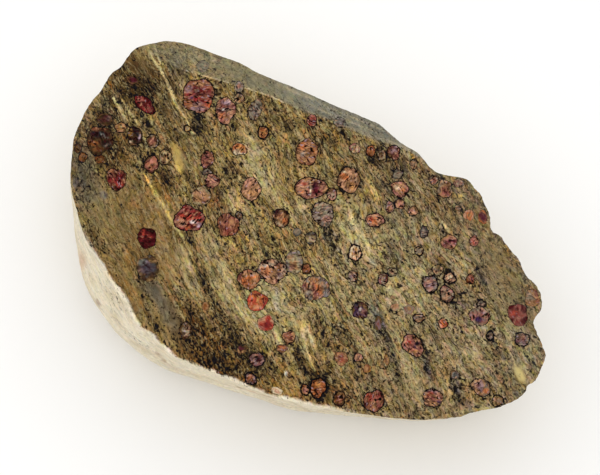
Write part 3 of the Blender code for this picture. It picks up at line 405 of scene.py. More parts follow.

# Garnets: name, lobe (column, row, width, height, turn), tones from its middle outwards,
# darkness of its rim, and touches of tone (column, row, half length, half width, slope,
# tone, strength). Some pale touches are painted highlights: glints of light off the polish.
CRYSTALS = [
    ("garnet_01", (198, 95, 31, 34, 0), ("crimson", "rose", "sienna"), 0.9, [
        (199, 83, 8, 3, 0, "clay", 0.8), (207, 89, 6, 3, -20, "crimson", 0.9),
        (188, 88, 5, 4, -30, "mauve", 0.8), (188, 94, 6, 1.6, -10, "crimson", 0.9),
        (196, 90, 3, 2.4, 0, "ash", 0.7), (191, 97, 2.4, 1.8, 0, "violet", 0.9),
        (198, 98, 5, 2, 10, "crimson", 1.0), (187, 101, 5, 3.6, -20, "rust", 0.9),
        (208, 102, 4, 5, 20, "red", 1.0), (209, 104, 3, 3, 0, "orange", 0.6),
        (197, 108, 9, 3, 0, "lilac", 0.6), (197, 103, 6, 2, -10, "mauve", 0.7),
        (198, 94, 9, 1, -12, "night", 0.8), (204, 96, 4, 1, 50, "night", 0.7)]),
    ("garnet_02", (225, 110, 19, 26, 8), ("pink", "rose", "salmon"), 0.9, [
        (226, 102, 6, 3, 0, "lilac", 0.7), (225, 106, 5, 2, 0, "crimson", 0.5),
        # The white touch at (223, 109) is a painted highlight, a glint of light in the crystal.
        (219, 109.5, 5, 2, 20, "night", 0.95), (223, 109, 2, 1.4, 0, "white", 0.8),
        (228, 110, 4, 2.6, 0, "stone", 0.8), (222, 115, 5, 3, 0, "orange", 0.8),
        (230, 114, 3, 5, 0, "salmon", 0.7), (225, 120, 5, 2.4, 0, "rose", 0.7)]),
    ("garnet_03", (144, 104, 23, 13, 40), ("crimson", "crimson", "blood"), 0.9, [
        (140, 100, 5, 3, 40, "rose", 0.8), (149, 109, 4, 3, 40, "rose", 0.6),
        (144, 104, 5, 2, 50, "blood", 0.7)]),
    ("garnet_04", (99, 140, 27, 27, 0), ("umber", "umber", "umber"), 0.7, [
        (97, 128.5, 10, 2, 0, "sienna", 0.7), (97, 134, 12, 4, 4, "night", 0.95),
        (92, 143, 6, 3, 10, "rust", 0.9), (106, 143, 6, 5, 0, "night", 0.7),
        # The thin steel streak at (104, 136) is a painted highlight, a bluish glint.
        (104, 136, 7, 1, 35, "steel", 0.8), (106, 145, 4, 1, -30, "ash", 0.7),
        (97, 149, 7, 2.6, 0, "rust", 0.6)]),
    ("garnet_04", (104, 119, 15, 13, 0), ("plum", "umber", "brown"), 0.5, [
        (102, 120, 5, 4, 0, "umber", 0.6), (108, 118, 3, 3, 0, "mauve", 0.4)]),
    ("garnet_05", (134, 136, 14, 18, 0), ("umber", "night", "brown"), 0.9, [
        (136, 131, 4, 3, 0, "night", 1.0), (135, 140, 4, 3, 0, "black", 0.9),
        # The lilac streak at (139, 137) and the cream spot at (130, 141) are painted highlights.
        (130, 133, 2.4, 5, 0, "ochre", 0.8), (139, 137, 1.2, 4, 20, "lilac", 0.9),
        (130, 141, 2, 1.5, 0, "cream", 0.7)]),
    ("garnet_06", (151, 164, 13, 17, 10), ("sienna", "rose", "brown"), 1.0, [
        (151, 161, 3, 3, 0, "pink", 0.6)]),
    ("garnet_07", (165, 157, 12, 14, 0), ("amber", "tan", "khaki"), 0.7, []),
    ("garnet_08", (116, 179, 19, 22, 0), ("crimson", "blood", "sienna"), 0.7, [
        (112, 175, 4, 3, 0, "rose", 0.6), (119, 184, 4, 3, 0, "red", 0.6)]),
    ("garnet_09", (147, 238, 18, 21, 0), ("blood", "blood", "blood"), 0.5, [
        (149, 230, 6, 2, 25, "black", 1.0), (143, 234, 2, 7, 10, "red", 0.7),
        (148, 236, 6, 1.4, 20, "red", 0.6), (150, 244, 6, 5, 0, "blood", 0.8)]),
    ("garnet_10", (148, 268, 22, 26, 0), ("slate", "umber", "fawn"), 0.35, [
        # The steel patch at (143, 262) and the lilac streak at (148, 262) are painted highlights.
        (143, 262, 5, 4, 0, "steel", 0.6), (151, 268, 6, 5, 40, "slate", 0.9),
        (148, 268, 9, 8, 0, "violet", 0.35), (153, 276, 6, 4, 40, "umber", 0.7),
        (141, 271, 4, 3, 0, "mauve", 0.5), (147, 266, 7, 1, 40, "night", 0.8),
        (148, 262, 3, 1, 20, "lilac", 0.6)]),
    ("garnet_11", (189, 219, 29, 25, 0), ("red", "crimson", "rose"), 0.9, [
        (182, 222, 5, 5, 0, "salmon", 0.8), (186, 216, 5, 4, 0, "red", 0.9),
        # The white touch at (193, 222) is a painted highlight, a glint in the crystal.
        (197, 214, 5, 4, 40, "crimson", 0.9), (193, 222, 4, 2.5, 0, "white", 0.7),
        (199, 225, 4, 3, 0, "lilac", 0.8), (188, 228, 4, 2.5, 20, "orange", 0.7),
        (190, 213, 6, 1, 40, "night", 0.7), (184, 212, 3, 2, 0, "pink", 0.6),
        (193, 228, 5, 1, -30, "night", 0.6), (195, 218, 1.2, 6, 20, "night", 0.6)]),
    ("garnet_12", (228, 225, 21, 23, 0), ("sienna", "rose", "sienna"), 0.7, [
        (228, 232, 6, 4, 20, "crimson", 0.6), (224, 219, 4, 4, 0, "night", 0.5),
        (232, 222, 4, 3, 0, "clay", 0.6)]),
    ("garnet_13", (201, 196, 19, 18, 0), ("clay", "clay", "tan"), 0.5, [
        (200, 193, 6, 4, 0, "salmon", 0.6), (204, 200, 5, 3, 0, "rose", 0.5)]),
    ("garnet_14", (212, 181, 14, 13, 0), ("pink", "salmon", "rose"), 0.7, [
        (210, 179, 3, 2, 0, "salmon", 0.6)]),
    ("garnet_15", (207, 159, 12, 17, 10), ("rose", "sienna", "pink"), 0.8, [
        (206, 156, 5, 1.4, 40, "night", 0.8), (208, 163, 4, 1.4, 20, "night", 0.7)]),
    ("garnet_16", (251, 189, 19, 22, 0), ("clay", "salmon", "clay"), 0.8, [
        (249, 184, 6, 6, 0, "pink", 0.5), (253, 194, 5, 4, 0, "amber", 0.6),
        (252, 190, 5, 1, 50, "umber", 0.6)]),
    ("garnet_17", (239, 149, 14, 12, 0), ("amber", "orange", "cream"), 0.8, [
        (237, 151, 4, 2.5, 0, "cream", 0.6), (241, 147, 3, 2, 0, "orange", 0.6)]),
    ("garnet_18", (255, 109, 13, 21, 20), ("ash", "stone", "grey"), 0.6, []),
    ("garnet_19", (307, 152, 21, 27, 0), ("clay", "sienna", "clay"), 0.7, [
        (302, 145, 5, 4, 0, "orange", 0.8), (312, 151, 5, 4, 50, "rust", 0.9),
        (303, 154, 4, 3, 0, "ash", 0.8), (311, 160, 4, 4, 0, "salmon", 0.6)]),
    ("garnet_20", (311, 188, 33, 20, 0), ("rose", "rose", "clay"), 0.9, [
        (303, 188, 7, 7, 0, "salmon", 0.8), (304, 184, 3, 2, 0, "red", 0.8),
        (302, 191, 3, 2, 0, "orange", 0.8), (316, 188, 5, 7, 0, "plum", 1.0),
        (316, 191, 4, 3, 0, "blood", 0.9), (314, 185, 1.4, 5, 10, "night", 0.8),
        (310.5, 188, 1, 8, 0, "cream", 0.9), (324, 186, 3, 5, 0, "pink", 0.8)]),
    ("garnet_21", (349, 180, 22, 24, 0), ("clay", "salmon", "clay"), 0.9, [
        (344, 176, 6, 4, 30, "orange", 1.0), (343, 171, 5, 1.6, 20, "cream", 0.7),
        (352, 186, 5, 5, 0, "amber", 0.7), (356, 180, 3, 4, 0, "stone", 0.5),
        (349, 184, 5, 1, 50, "umber", 0.7)]),
    ("garnet_22", (394, 152, 12, 14, 0), ("mauve", "rose", "brown"), 0.9, []),
    ("garnet_23", (400, 189, 17, 15, 0), ("salmon", "clay", "pink"), 0.8, [
        (403, 190, 3, 2.4, 0, "orange", 0.7), (397, 187, 4, 3, 0, "cream", 0.5)]),
    ("garnet_24", (375, 220, 17, 13, 0), ("orange", "salmon", "pink"), 1.0, [
        (371, 219, 3, 3, 0, "red", 0.8), (379, 220, 3, 4, 0, "salmon", 0.7)]),
    ("garnet_25", (323, 214, 21, 24, 0), ("stone", "ash", "stone"), 0.8, [
        (327, 219, 6, 4, 0, "pink", 0.7), (318, 209, 5, 4, 0, "tan", 0.5),
        (325, 212, 4, 2, 0, "haze", 0.7), (322, 216, 8, 1, 30, "umber", 0.6)]),
    ("garnet_26", (281, 218, 16, 18, 0), ("sienna", "clay", "umber"), 0.7, [
        (277, 212, 5, 3, -40, "night", 0.9), (285, 221, 3, 4, 0, "orange", 0.8),
        (279, 224, 5, 1.6, 30, "cream", 0.6)]),
    ("garnet_27", (249, 279, 21, 19, 0), ("orange", "clay", "sienna"), 0.8, [
        (240, 276, 2.4, 6, 0, "plum", 0.7), (253, 274, 3, 3, 0, "stone", 0.6),
        (246, 283, 6, 3, 0, "orange", 0.8), (247, 274, 4, 2, 0, "clay", 0.7)]),
    ("garnet_28", (272, 271, 28, 24, 0), ("clay", "salmon", "stone"), 0.7, [
        (265, 266, 1.8, 1.8, 0, "white", 0.9), (266, 271, 6, 5, 0, "orange", 0.7),
        (279, 266, 4, 3, 0, "sienna", 0.7), (279, 275, 4, 3, 0, "blue", 0.6),
        (278, 281, 4, 2, 0, "crimson", 0.7), (285, 277, 2.4, 4, 0, "ochre", 0.8),
        (272, 278, 2.6, 4, 20, "clay", 0.7), (275, 270, 6, 1, 30, "umber", 0.7)]),
    ("garnet_28", (294, 262, 17, 24, 0), ("clay", "tan", "ash"), 0.5, [
        (292, 267, 3.6, 3.6, 0, "rose", 0.7), (298, 276, 4, 3, 0, "ash", 0.7),
        (290, 257, 4, 3, 0, "clay", 0.7)]),
    ("garnet_28", (306.5, 269, 9, 10, 0), ("rust", "sienna", "brown"), 0.7, []),
    ("garnet_29", (316, 288, 27, 24, 0), ("rose", "clay", "ash"), 0.6, [
        (315, 280, 4, 2.6, 0, "rust", 0.7), (319, 290, 8, 2.4, 58, "orange", 1.0),
        (324, 296, 4, 2.6, 0, "blue", 0.6), (324, 285, 3, 3, 0, "ash", 0.6),
        (309, 292, 5, 4, 0, "stone", 0.6), (310, 290, 5, 1, 20, "night", 0.8),
        (311, 285, 4, 1, 60, "night", 0.6)]),
    ("garnet_30", (257, 301, 19, 20, 0), ("red", "orange", "red"), 0.5, [
        (258, 299, 1.8, 5, 10, "amber", 0.9), (256, 294, 3, 1.8, 0, "blood", 0.9),
        (264, 302, 2.4, 3, 0, "plum", 0.7), (252, 302, 3, 4, 0, "red", 0.9),
        (258, 307, 5, 2.4, 0, "salmon", 0.6)]),
    ("garnet_31", (266, 323, 16, 16, 0), ("crimson", "red", "salmon"), 0.3, [
        (267, 324, 4, 3.6, 0, "crimson", 0.9), (262, 328, 3, 2, 0, "pink", 0.6)]),
    ("garnet_32", (289, 337, 12, 13, 0), ("sienna", "rose", "clay"), 0.7, []),
    ("garnet_33", (257, 359, 15, 12, 0), ("mauve", "rose", "mauve"), 1.0, [
        (258, 359, 3, 3, 0, "night", 1.0), (253, 358, 2.4, 1.6, 0, "plum", 0.6)]),
    ("garnet_34", (355, 253, 12, 14, 0), ("amber", "cream", "salmon"), 1.3, [
        (353, 250, 3, 2.4, 0, "ash", 0.6), (356, 254, 3, 3, 0, "amber", 0.7)]),
    ("garnet_35", (360, 310, 15, 17, 0), ("mauve", "violet", "brown"), 0.7, [
        (357, 305, 4, 3, -30, "night", 0.9), (356, 312, 1.8, 5, 10, "violet", 0.8),
        (363, 312, 3, 4, 0, "pink", 0.6), (360, 309, 1.6, 1.6, 0, "white", 0.6)]),
    ("garnet_36", (341, 358, 13, 14, 0), ("rose", "clay", "sienna"), 0.4, [
        (342, 359, 3, 3, 0, "red", 0.5)]),
    ("garnet_37", (318, 387, 14, 19, 18), ("orange", "rust", "orange"), 1.5, [
        (318, 384, 3, 4, 0, "amber", 0.7), (320, 389, 3, 4, 0, "sienna", 0.7),
        (321, 381, 2, 3, 0, "rust", 0.6)]),
    ("garnet_38", (339, 398, 11, 14, 0), ("rust", "brown", "umber"), 1.0, [
        (339, 398, 2.4, 3.4, 0, "pink", 0.6)]),
    ("garnet_39", (373.5, 400, 20, 20, 0), ("red", "rose", "sienna"), 1.0, [
        (369, 396, 4, 5, 0, "red", 0.8), (374, 403, 2.6, 6, 10, "clay", 0.8),
        (378, 395, 4, 4, 0, "crimson", 0.7), (382, 394, 1.6, 5, 0, "night", 0.9),
        (365, 404, 2, 3, 0, "plum", 0.7), (378, 404, 3, 3, 0, "rose", 0.7)]),
    ("garnet_40", (412.5, 345, 24, 17, 42), ("rose", "pink", "clay"), 1.0, [
        (408, 342, 3.4, 3.4, 0, "red", 0.9), (417, 343, 3.4, 3.4, 0, "night", 1.0),
        (415, 347, 3, 1.6, 40, "violet", 0.7), (416, 351, 2.6, 2, 0, "amber", 0.7),
        (404, 340, 2, 2.6, 0, "salmon", 0.8), (412, 349, 3, 2, 0, "crimson", 0.6)]),
    ("garnet_41", (432, 397, 19, 18, 0), ("rose", "clay", "mauve"), 0.7, [
        (430, 393, 4, 3, 0, "red", 0.8), (437, 394, 3, 3, 0, "pink", 0.7),
        (432, 400, 6, 1, 0, "night", 0.7), (438, 401, 3, 2, 0, "violet", 0.8),
        (431, 404, 4, 2, 0, "clay", 0.7)]),
    ("garnet_42", (430, 284, 14, 16, 0), ("mauve", "pink", "ash"), 1.2, [
        (433, 285, 2.6, 4, 0, "mauve", 0.7), (428, 281, 2.6, 2, 0, "salmon", 0.6)]),
    ("garnet_43", (446.5, 294, 12, 17, -22), ("salmon", "stone", "pink"), 1.1, []),
    ("garnet_44", (479, 316, 20, 18, 0), ("mauve", "rose", "stone"), 0.6, [
        (478, 319, 4.4, 3.4, 0, "violet", 1.0), (477, 314, 5, 1, 0, "pink", 0.8),
        (477, 322, 3, 2, 0, "night", 0.7), (483, 312, 3, 2, 0, "lilac", 0.5)]),
    ("garnet_45", (517.5, 314.5, 19, 23, -28), ("crimson", "rose", "blood"), 0.3, [
        (511, 307, 3, 4, 0, "blood", 0.7), (513, 313, 4, 3, 0, "red", 0.8),
        (518, 318, 2.4, 3, 0, "pink", 0.7), (523, 321, 3.4, 4, 0, "blood", 0.8)]),
    ("garnet_46", (532, 298, 15, 17, 0), ("stone", "clay", "clay"), 0.4, [
        (536, 293, 3, 5, 0, "rose", 0.8), (537, 301, 2.4, 3, 0, "crimson", 0.6),
        (527, 296, 4, 6, 0, "stone", 0.8), (530, 300, 1.6, 1.6, 0, "umber", 0.9),
        (537, 306, 3, 2, 0, "ochre", 0.8)]),
    ("garnet_47", (521.5, 339, 14, 12, 0), ("pink", "mauve", "stone"), 1.1, [
        (517, 340, 2.4, 3, 0, "plum", 0.7), (522, 336, 2.6, 2.4, 0, "salmon", 0.7)]),
    ("garnet_48", (480, 386.5, 20, 15, 34), ("mauve", "clay", "stone"), 0.9, [
        (476, 384, 4, 3, 30, "mauve", 0.7), (485, 390, 3.4, 3, 0, "orange", 0.9),
        (477, 385, 2.4, 1.6, 30, "crimson", 0.6), (486, 381, 4, 2, 20, "night", 0.8)]),
    ("garnet_49", (445, 189, 15, 17, 0), ("rose", "clay", "stone"), 0.7, []),
    ("garnet_49", (459, 183, 10, 8, 0), ("stone", "pink", "stone"), 0.6, []),
    ("garnet_50", (186, 330, 12, 16, 0), ("brown", "stone", "brown"), 0.7, [
        (181, 325, 4, 1.4, -50, "black", 0.8), (187, 331, 3, 3, 0, "pale", 0.4)]),
]

# Smaller garnets, past the number of pieces that the CAD model holds.
SMALL_CRYSTALS = [
    (120, 127, 10, 10, 0, ("tan", "ochre", "clay"), 0.9),
    (152, 141, 11, 13, 0, ("rose", "brown", "stone"), 0.8),
    (82, 157, 8, 10, 0, ("brown", "rust", "umber"), 0.7),
    (77, 148, 7, 9, 0, ("brown", "umber", "brown"), 0.6),
    (207, 172, 9, 6, 0, ("ash", "grey", "slate"), 0.7),
    (263, 132, 9, 12, 0, ("amber", "orange", "clay"), 1.3),
    (239, 98, 10, 9, 0, ("clay", "tan", "salmon"), 0.7),
    (239, 86, 9, 10, 0, ("pink", "ash", "stone"), 0.6),
    # This crystal and the one at (340, 122) lie on the second facet. Their grey tones are partly
    # its painted sheen, reflected light over the garnet's own colour.
    (202, 65, 12, 12, 0, ("haze", "stone", "haze"), 0.35),
    (312, 120, 9, 12, 0, ("rose", "red", "pink"), 0.7),
    (332, 194, 9, 12, 0, ("stone", "pink", "brown"), 0.8),
    (355, 148, 10, 10, 0, ("clay", "tan", "pink"), 0.7),
    (371, 151, 8, 11, 0, ("rust", "sienna", "orange"), 0.9),
    (382, 155, 8, 10, 0, ("brown", "stone", "olive"), 0.7),
    (398, 174, 9, 9, 0, ("stone", "grey", "ash"), 0.8),
    (390, 207, 8, 11, 0, ("clay", "pink", "stone"), 0.8),
    (400, 204, 9, 9, 0, ("pink", "clay", "salmon"), 0.8),
    (413, 211, 10, 8, 0, ("pink", "salmon", "clay"), 0.8),
    (311, 238, 11, 12, 0, ("stone", "olive", "slate"), 0.7),
    (282, 348, 10, 8, 0, ("orange", "sienna", "salmon"), 0.6),
    (251, 378, 9, 11, -20, ("rose", "rust", "mauve"), 1.3),
    (358, 357, 8, 8, 0, ("salmon", "pink", "clay"), 0.8),
    (305, 389, 7, 9, -20, ("pink", "clay", "orange"), 1.3),
    (392, 272, 9, 8, 0, ("pink", "tan", "stone"), 0.8),
    (383, 279, 9, 11, 0, ("clay", "stone", "rose"), 0.9),
    (449.5, 278, 11, 9, 20, ("cream", "salmon", "stone"), 1.5),
    (437.5, 270, 10, 10, 0, ("stone", "khaki", "tan"), 0.8),
    (470, 279, 8, 9, 0, ("sienna", "rose", "rust"), 0.7),
    (442.5, 323, 9, 9, 0, ("orange", "red", "salmon"), 0.9),
    (418.5, 318, 10, 8, 0, ("stone", "clay", "ash"), 1.0),
    (409, 309, 10, 9, 20, ("clay", "stone", "pink"), 0.2),
    (395, 307, 9, 7, 0, ("clay", "salmon", "tan"), 0.3),
    (496.5, 400, 10, 11, 0, ("stone", "clay", "khaki"), 1.0),
    (449, 242, 16, 14, 0, ("plum", "pink", "clay"), 0.6),
    (474, 241, 9, 10, 0, ("red", "pink", "sienna"), 0.6),
    (434, 180, 8, 9, 0, ("rose", "stone", "brown"), 0.7),
    (469, 215, 10, 11, 0, ("clay", "orange", "salmon"), 0.3),
    (483, 217, 9, 14, -15, ("plum", "sienna", "orange"), 0.3),
    (424, 232, 8, 11, 0, ("grey", "ash", "slate"), 0.8),
    (419, 251, 8, 8, 0, ("stone", "grey", "khaki"), 0.9),
    (414, 164, 7, 10, 0, ("stone", "clay", "grey"), 0.8),
    (220, 373, 7, 5, 0, ("rust", "ochre", "brown"), 0.6),
    (277, 390, 11, 7, 20, ("blush", "salmon", "cream"), 0.2),
    # On the second facet: its grey tones are partly painted sheen.
    (340, 122, 12, 10, 0, ("ash", "haze", "steel"), 0.5),
    (458, 208, 6, 6, 0, ("stone", "clay", "grey"), 0.6),
    (367, 368, 8, 8, 0, ("clay", "sienna", "ochre"), 0.3),
    (386, 360, 6, 11, 0, ("clay", "ochre", "tan"), 0.4),
    (353, 276, 9, 10, 0, ("mauve", "stone", "clay"), 0.8),
    (481, 304, 8, 7, 0, ("ash", "stone", "grey"), 1.1),
    (489.5, 335.5, 6, 8, 0, ("slate", "ash", "grey"), 1.3),
    (242, 349, 9, 8, 0, ("plum", "umber", "clay"), 0.5),
    (131, 79, 11, 8, 30, ("blood", "plum", "brown"), 0.5),
    (99, 159, 10, 8, 0, ("brown", "rust", "umber"), 0.5),
    (187, 128, 6, 5, 20, ("tan", "ochre", "rust"), 1.1),
    (239, 216, 6, 8, 0, ("stone", "brown", "ash"), 1.0),
    (454, 374, 9, 8, 0, ("slate", "ash", "brown"), 0.5),
    (378, 323, 7, 14, 0, ("rose", "mauve", "brown"), 0.1),
    (393, 297, 6, 4, 20, ("stone", "clay", "tan"), 0.2),
    (206, 306, 8, 9, 0, ("rust", "clay", "brown"), 0.2),
    (297, 232, 8, 8, 0, ("stone", "stone", "slate"), 0.3),
]


# --------------------------------------------------------------------- numeric helpers
def linear(srgb):
    """Linear light of an sRGB tone given in 0-255."""
    value = np.asarray(srgb, float) / 255.0
    return np.where(value <= 0.04045, value / 12.92, ((value + 0.055) / 1.055) ** 2.4)


TONE = {name: linear(value) for name, value in TONES.items()}


def smooth(low, high, value):
    """Smooth step from 0 at low to 1 at high."""
    share = np.clip((value - low) / (high - low), 0.0, 1.0)
    return share * share * (3 - 2 * share)


def fade(low, high, value):
    """Smooth step from 1 at low to 0 at high."""
    return 1 - smooth(low, high, value)


def chance(ix, iy, seed):
    """Repeatable random number from 0 to 1 for each whole-number cell."""
    mask = np.int64(0xFFFFFFFF)
    mixed = (ix * 374761393 + iy * 668265263 + seed * 974711) & mask
    mixed = ((mixed ^ (mixed >> 13)) * 1274126177) & mask
    mixed = ((mixed ^ (mixed >> 16)) * 2246822519) & mask
    return ((mixed ^ (mixed >> 15)) & mask) / float(mask)


def draw(number, kind, seed):
    """One repeatable random number from 0 to 1."""
    return float(chance(np.int64(number), np.int64(kind), seed))


def value_noise(x, y, seed):
    """Smooth noise from 0 to 1 with cells one unit wide."""
    fx, fy = np.floor(x), np.floor(y)
    ix, iy = fx.astype(np.int64), fy.astype(np.int64)
    tx, ty = x - fx, y - fy
    tx, ty = tx * tx * (3 - 2 * tx), ty * ty * (3 - 2 * ty)
    upper = chance(ix, iy, seed) * (1 - tx) + chance(ix + 1, iy, seed) * tx
    lower = chance(ix, iy + 1, seed) * (1 - tx) + chance(ix + 1, iy + 1, seed) * tx
    return upper * (1 - ty) + lower * ty


def fractal(x, y, seed, octaves=3):
    """Layered noise centred on 0, about -1 to 1."""
    total, weight, size = 0.0, 0.0, 1.0
    for octave in range(octaves):
        total = total + size * (value_noise(x, y, seed + 31 * octave) - 0.5)
        weight += size * 0.5
        x, y, size = x * 2.03 + 7.1, y * 2.03 + 3.7, size * 0.55
    return total / weight


def turned(col, row, slope, centre=(0, 0)):
    """Coordinates along and across a line of that slope, down to the right, through a spot."""
    angle = math.radians(slope)
    dc, dr = col - centre[0], row - centre[1]
    along = dc * math.cos(angle) + dr * math.sin(angle)
    across = -dc * math.sin(angle) + dr * math.cos(angle)
    return along, across


def along_line(line, where):
    """Second coordinate of a drawn line, where its first one is given."""
    return np.interp(where, *zip(*line))


def blend(colours, tone, share):
    """Mix a tone, by name or as rows of colours, into rows of colours."""
    share = np.asarray(share)[:, None]
    return colours * (1 - share) + (TONE[tone] if isinstance(tone, str) else tone) * share


def plain(tone, count):
    """Rows of one named tone."""
    return np.tile(TONE[tone], (count, 1))


# ------------------------------------------------------------------ shape of the specimen
def surface_height(col, row):
    """Height in mm of the cut surface under a spot of the layout."""
    beyond_crease = np.maximum(0.0, along_line(CREASE, col) - row) * math.cos(FACET_TURN)
    beyond_break = np.maximum(0.0, col - along_line(BREAK_LINE, row)) / BREAK_WIDTH
    beyond_worn = np.maximum(0.0, along_line(WORN_LINE, row) - col) / ROUND_WIDTH
    drop = beyond_crease * GRID * FACET_FALL + BREAK_DROP * beyond_break ** BREAK_CURVE
    return THICKNESS - (drop + ROUND_DROP * beyond_worn ** ROUND_CURVE)


def place(col, row, height):
    """Points in mm of spots of the layout at a height."""
    col, row = np.asarray(col, float), np.asarray(row, float)
    height = np.broadcast_to(height, col.shape)
    across = (col - MIDDLE_COL) * GRID
    away = ((MIDDLE_ROW - row) * GRID - height * math.cos(LEAN)) / math.sin(LEAN)
    return np.stack([across, away, height], axis=-1)


def polish_at(col, row):
    """Polish from 0 to 1: lost towards the broken right end and the worn left edge."""
    beyond_break = col - along_line(BREAK_LINE, row) + 9 * fractal(col / 14, row / 14, 29)
    beyond_worn = along_line(WORN_LINE, row) - col
    return fade(-14, 22, beyond_break) * (1 - 0.75 * smooth(4, 26, beyond_worn))


def place_on_face(col, row):
    """Points in mm of spots of the finished face, with the ledges of its broken end."""
    along, across = turned(col, row, FOLIATION - 10)
    ledges = 0.30 * fractal(along / 16, across / 4, 51) + 0.10 * fractal(col / 3, row / 3, 53)
    return place(col, row, surface_height(col, row) + (1 - polish_at(col, row)) * ledges)


def layout_polar(col, row, hub):
    """Angle and distance of spots of the layout round a hub."""
    dc, dr = np.asarray(col) - hub[0], np.asarray(row) - hub[1]
    return np.arctan2(dr, dc), np.hypot(dc, dr)


class Outline:
    """A closed outline on the layout that can be seen whole from its hub."""

    def __init__(self, cols, rows, hub):
        self.points = np.stack([cols, rows], axis=1)
        self.hub = hub
        angle, distance = layout_polar(cols, rows, hub)
        order = np.argsort(angle)
        self.angle, self.distance = angle[order], distance[order]

    def reach(self, col, row):
        """Distance of spots from the hub, and of the outline in their direction."""
        angle, distance = layout_polar(col, row, self.hub)
        limit = np.interp(angle, self.angle, self.distance, period=math.tau)
        return distance, limit


def rounded_loop(points, step):
    """A closed smooth curve through points, with corners about step apart."""
    points = np.asarray(points, float)
    before, after = np.roll(points, 1, axis=0), np.roll(points, -1, axis=0)
    beyond = np.roll(points, -2, axis=0)
    loop = []
    for p0, p1, p2, p3 in zip(before, points, after, beyond):
        count = max(1, round(float(np.hypot(*(p2 - p1))) / step))
        for t in np.arange(count) / count:
            pull = 2 * p1 + (p2 - p0) * t + (2 * p0 - 5 * p1 + 4 * p2 - p3) * t ** 2
            pull = pull + (3 * p1 - p0 - 3 * p2 + p3) * t ** 3
            loop.append(pull / 2)
    return np.array(loop)


def edge_outline():
    """The edge of the cut surface, with the small nicks of a sawn stone."""
    loop = rounded_loop(EDGE, EDGE_STEP)
    angle, distance = layout_polar(*loop.T, HUB)
    run = np.arange(len(loop)) * EDGE_STEP
    nick = 0.45 * fractal(run / 7.0, run * 0, 3) + 0.35 * fractal(run / 2.6, run * 0, 5)
    distance = distance + nick * (1 + 1.7 * smooth(430, 475, loop[:, 0]))
    return Outline(HUB[0] + distance * np.cos(angle), HUB[1] + distance * np.sin(angle), HUB)


EDGE_OUTLINE = edge_outline()


# ------------------------------------------------------------------------- the crystals
def crystal_outline(col, row, width, height, turn, seed):
    """A slightly lumpy oval, kept inside the edge of the cut surface."""
    length = math.pi * (width + height) / 2
    count = max(LEAST_POINTS, round(length / (PITCH * OUTLINE_STEP)))
    angle = np.arange(count) / count * math.tau
    radius = np.ones(count)
    for harmonic, size in HARMONICS:
        phase = math.tau * draw(harmonic, seed, 77)
        gain = 0.5 + draw(harmonic, seed, 78)
        radius += size * gain * np.cos(harmonic * angle + phase)
    across, down = np.cos(angle) * radius * width / 2, np.sin(angle) * radius * height / 2
    across, down = turned(across, down, -turn)
    cols, rows = col + across, row + down
    distance, limit = EDGE_OUTLINE.reach(cols, rows)
    keep = np.minimum(1.0, (limit - EDGE_GAP) / distance)
    cols, rows = HUB[0] + (cols - HUB[0]) * keep, HUB[1] + (rows - HUB[1]) * keep
    return Outline(cols, rows, (col, row))


class Crystal:
    """One garnet section: its outline, its tones and the node that it stands for."""

    def __init__(self, name, oval, tones, rim, touches, seed):
        self.name, self.tones, self.rim = name, tones, rim
        self.touches, self.seed = touches, seed
        col, row, width, height, turn = oval
        spread = 1.0 + RIM_SPREAD * min(rim, RIM_MOST) * 2 / (width + height)
        self.outline = crystal_outline(col, row, width * spread, height * spread, turn, seed)


def keep_apart(crystal, others):
    """Push a crystal's outline out of those that were set before it."""
    cols, rows = crystal.outline.points.T
    for other in others:
        hub = other.outline.hub
        distance, limit = other.outline.reach(cols, rows)
        push = np.maximum(1.0, (limit + CRYSTAL_GAP) / np.maximum(distance, 1e-6))
        cols, rows = hub[0] + (cols - hub[0]) * push, hub[1] + (rows - hub[1]) * push
    crystal.outline = Outline(cols, rows, crystal.outline.hub)


def read_crystals():
    """All crystals, large and small, in a fixed order."""
    crystals = [Crystal(*row, seed) for seed, row in enumerate(CRYSTALS)]
    crystals += [Crystal("small", oval, tones, rim, [], seed)
                 for seed, (*oval, tones, rim) in enumerate(SMALL_CRYSTALS, 200)]
    for number, crystal in enumerate(crystals):
        keep_apart(crystal, crystals[:number])
    return crystals


# ------------------------------------------------------------------------- the rock mesh
def clear_spots(cols, rows, crystals):
    """Which spots lie inside the edge and clear of every crystal."""
    distance, limit = EDGE_OUTLINE.reach(cols, rows)
    clear = distance < limit - PITCH * EDGE_CLEAR
    for crystal in crystals:
        distance, limit = crystal.outline.reach(cols, rows)
        clear &= distance > limit + PITCH * RIM_CLEAR
    return clear


def face_points(crystals):
    """Spots of the polished face: a staggered, shaken grid that leaves out the crystals."""
    cols, rows = [], []
    for line, row in enumerate(np.arange(*FACE_ROWS, PITCH * math.sqrt(3) / 2)):
        cols.append(np.arange(FACE_COLS[0] + (line % 2) * PITCH / 2, FACE_COLS[1], PITCH))
        rows.append(np.full(len(cols[-1]), row))
    col, row = np.concatenate(cols), np.concatenate(rows)
    where = np.arange(len(col))
    col = col + (chance(where, where * 0, 11) - 0.5) * PITCH * SHAKE
    row = row + (chance(where, where * 0, 12) - 0.5) * PITCH * SHAKE
    return np.stack([col, row], axis=1)[clear_spots(col, row, crystals)]


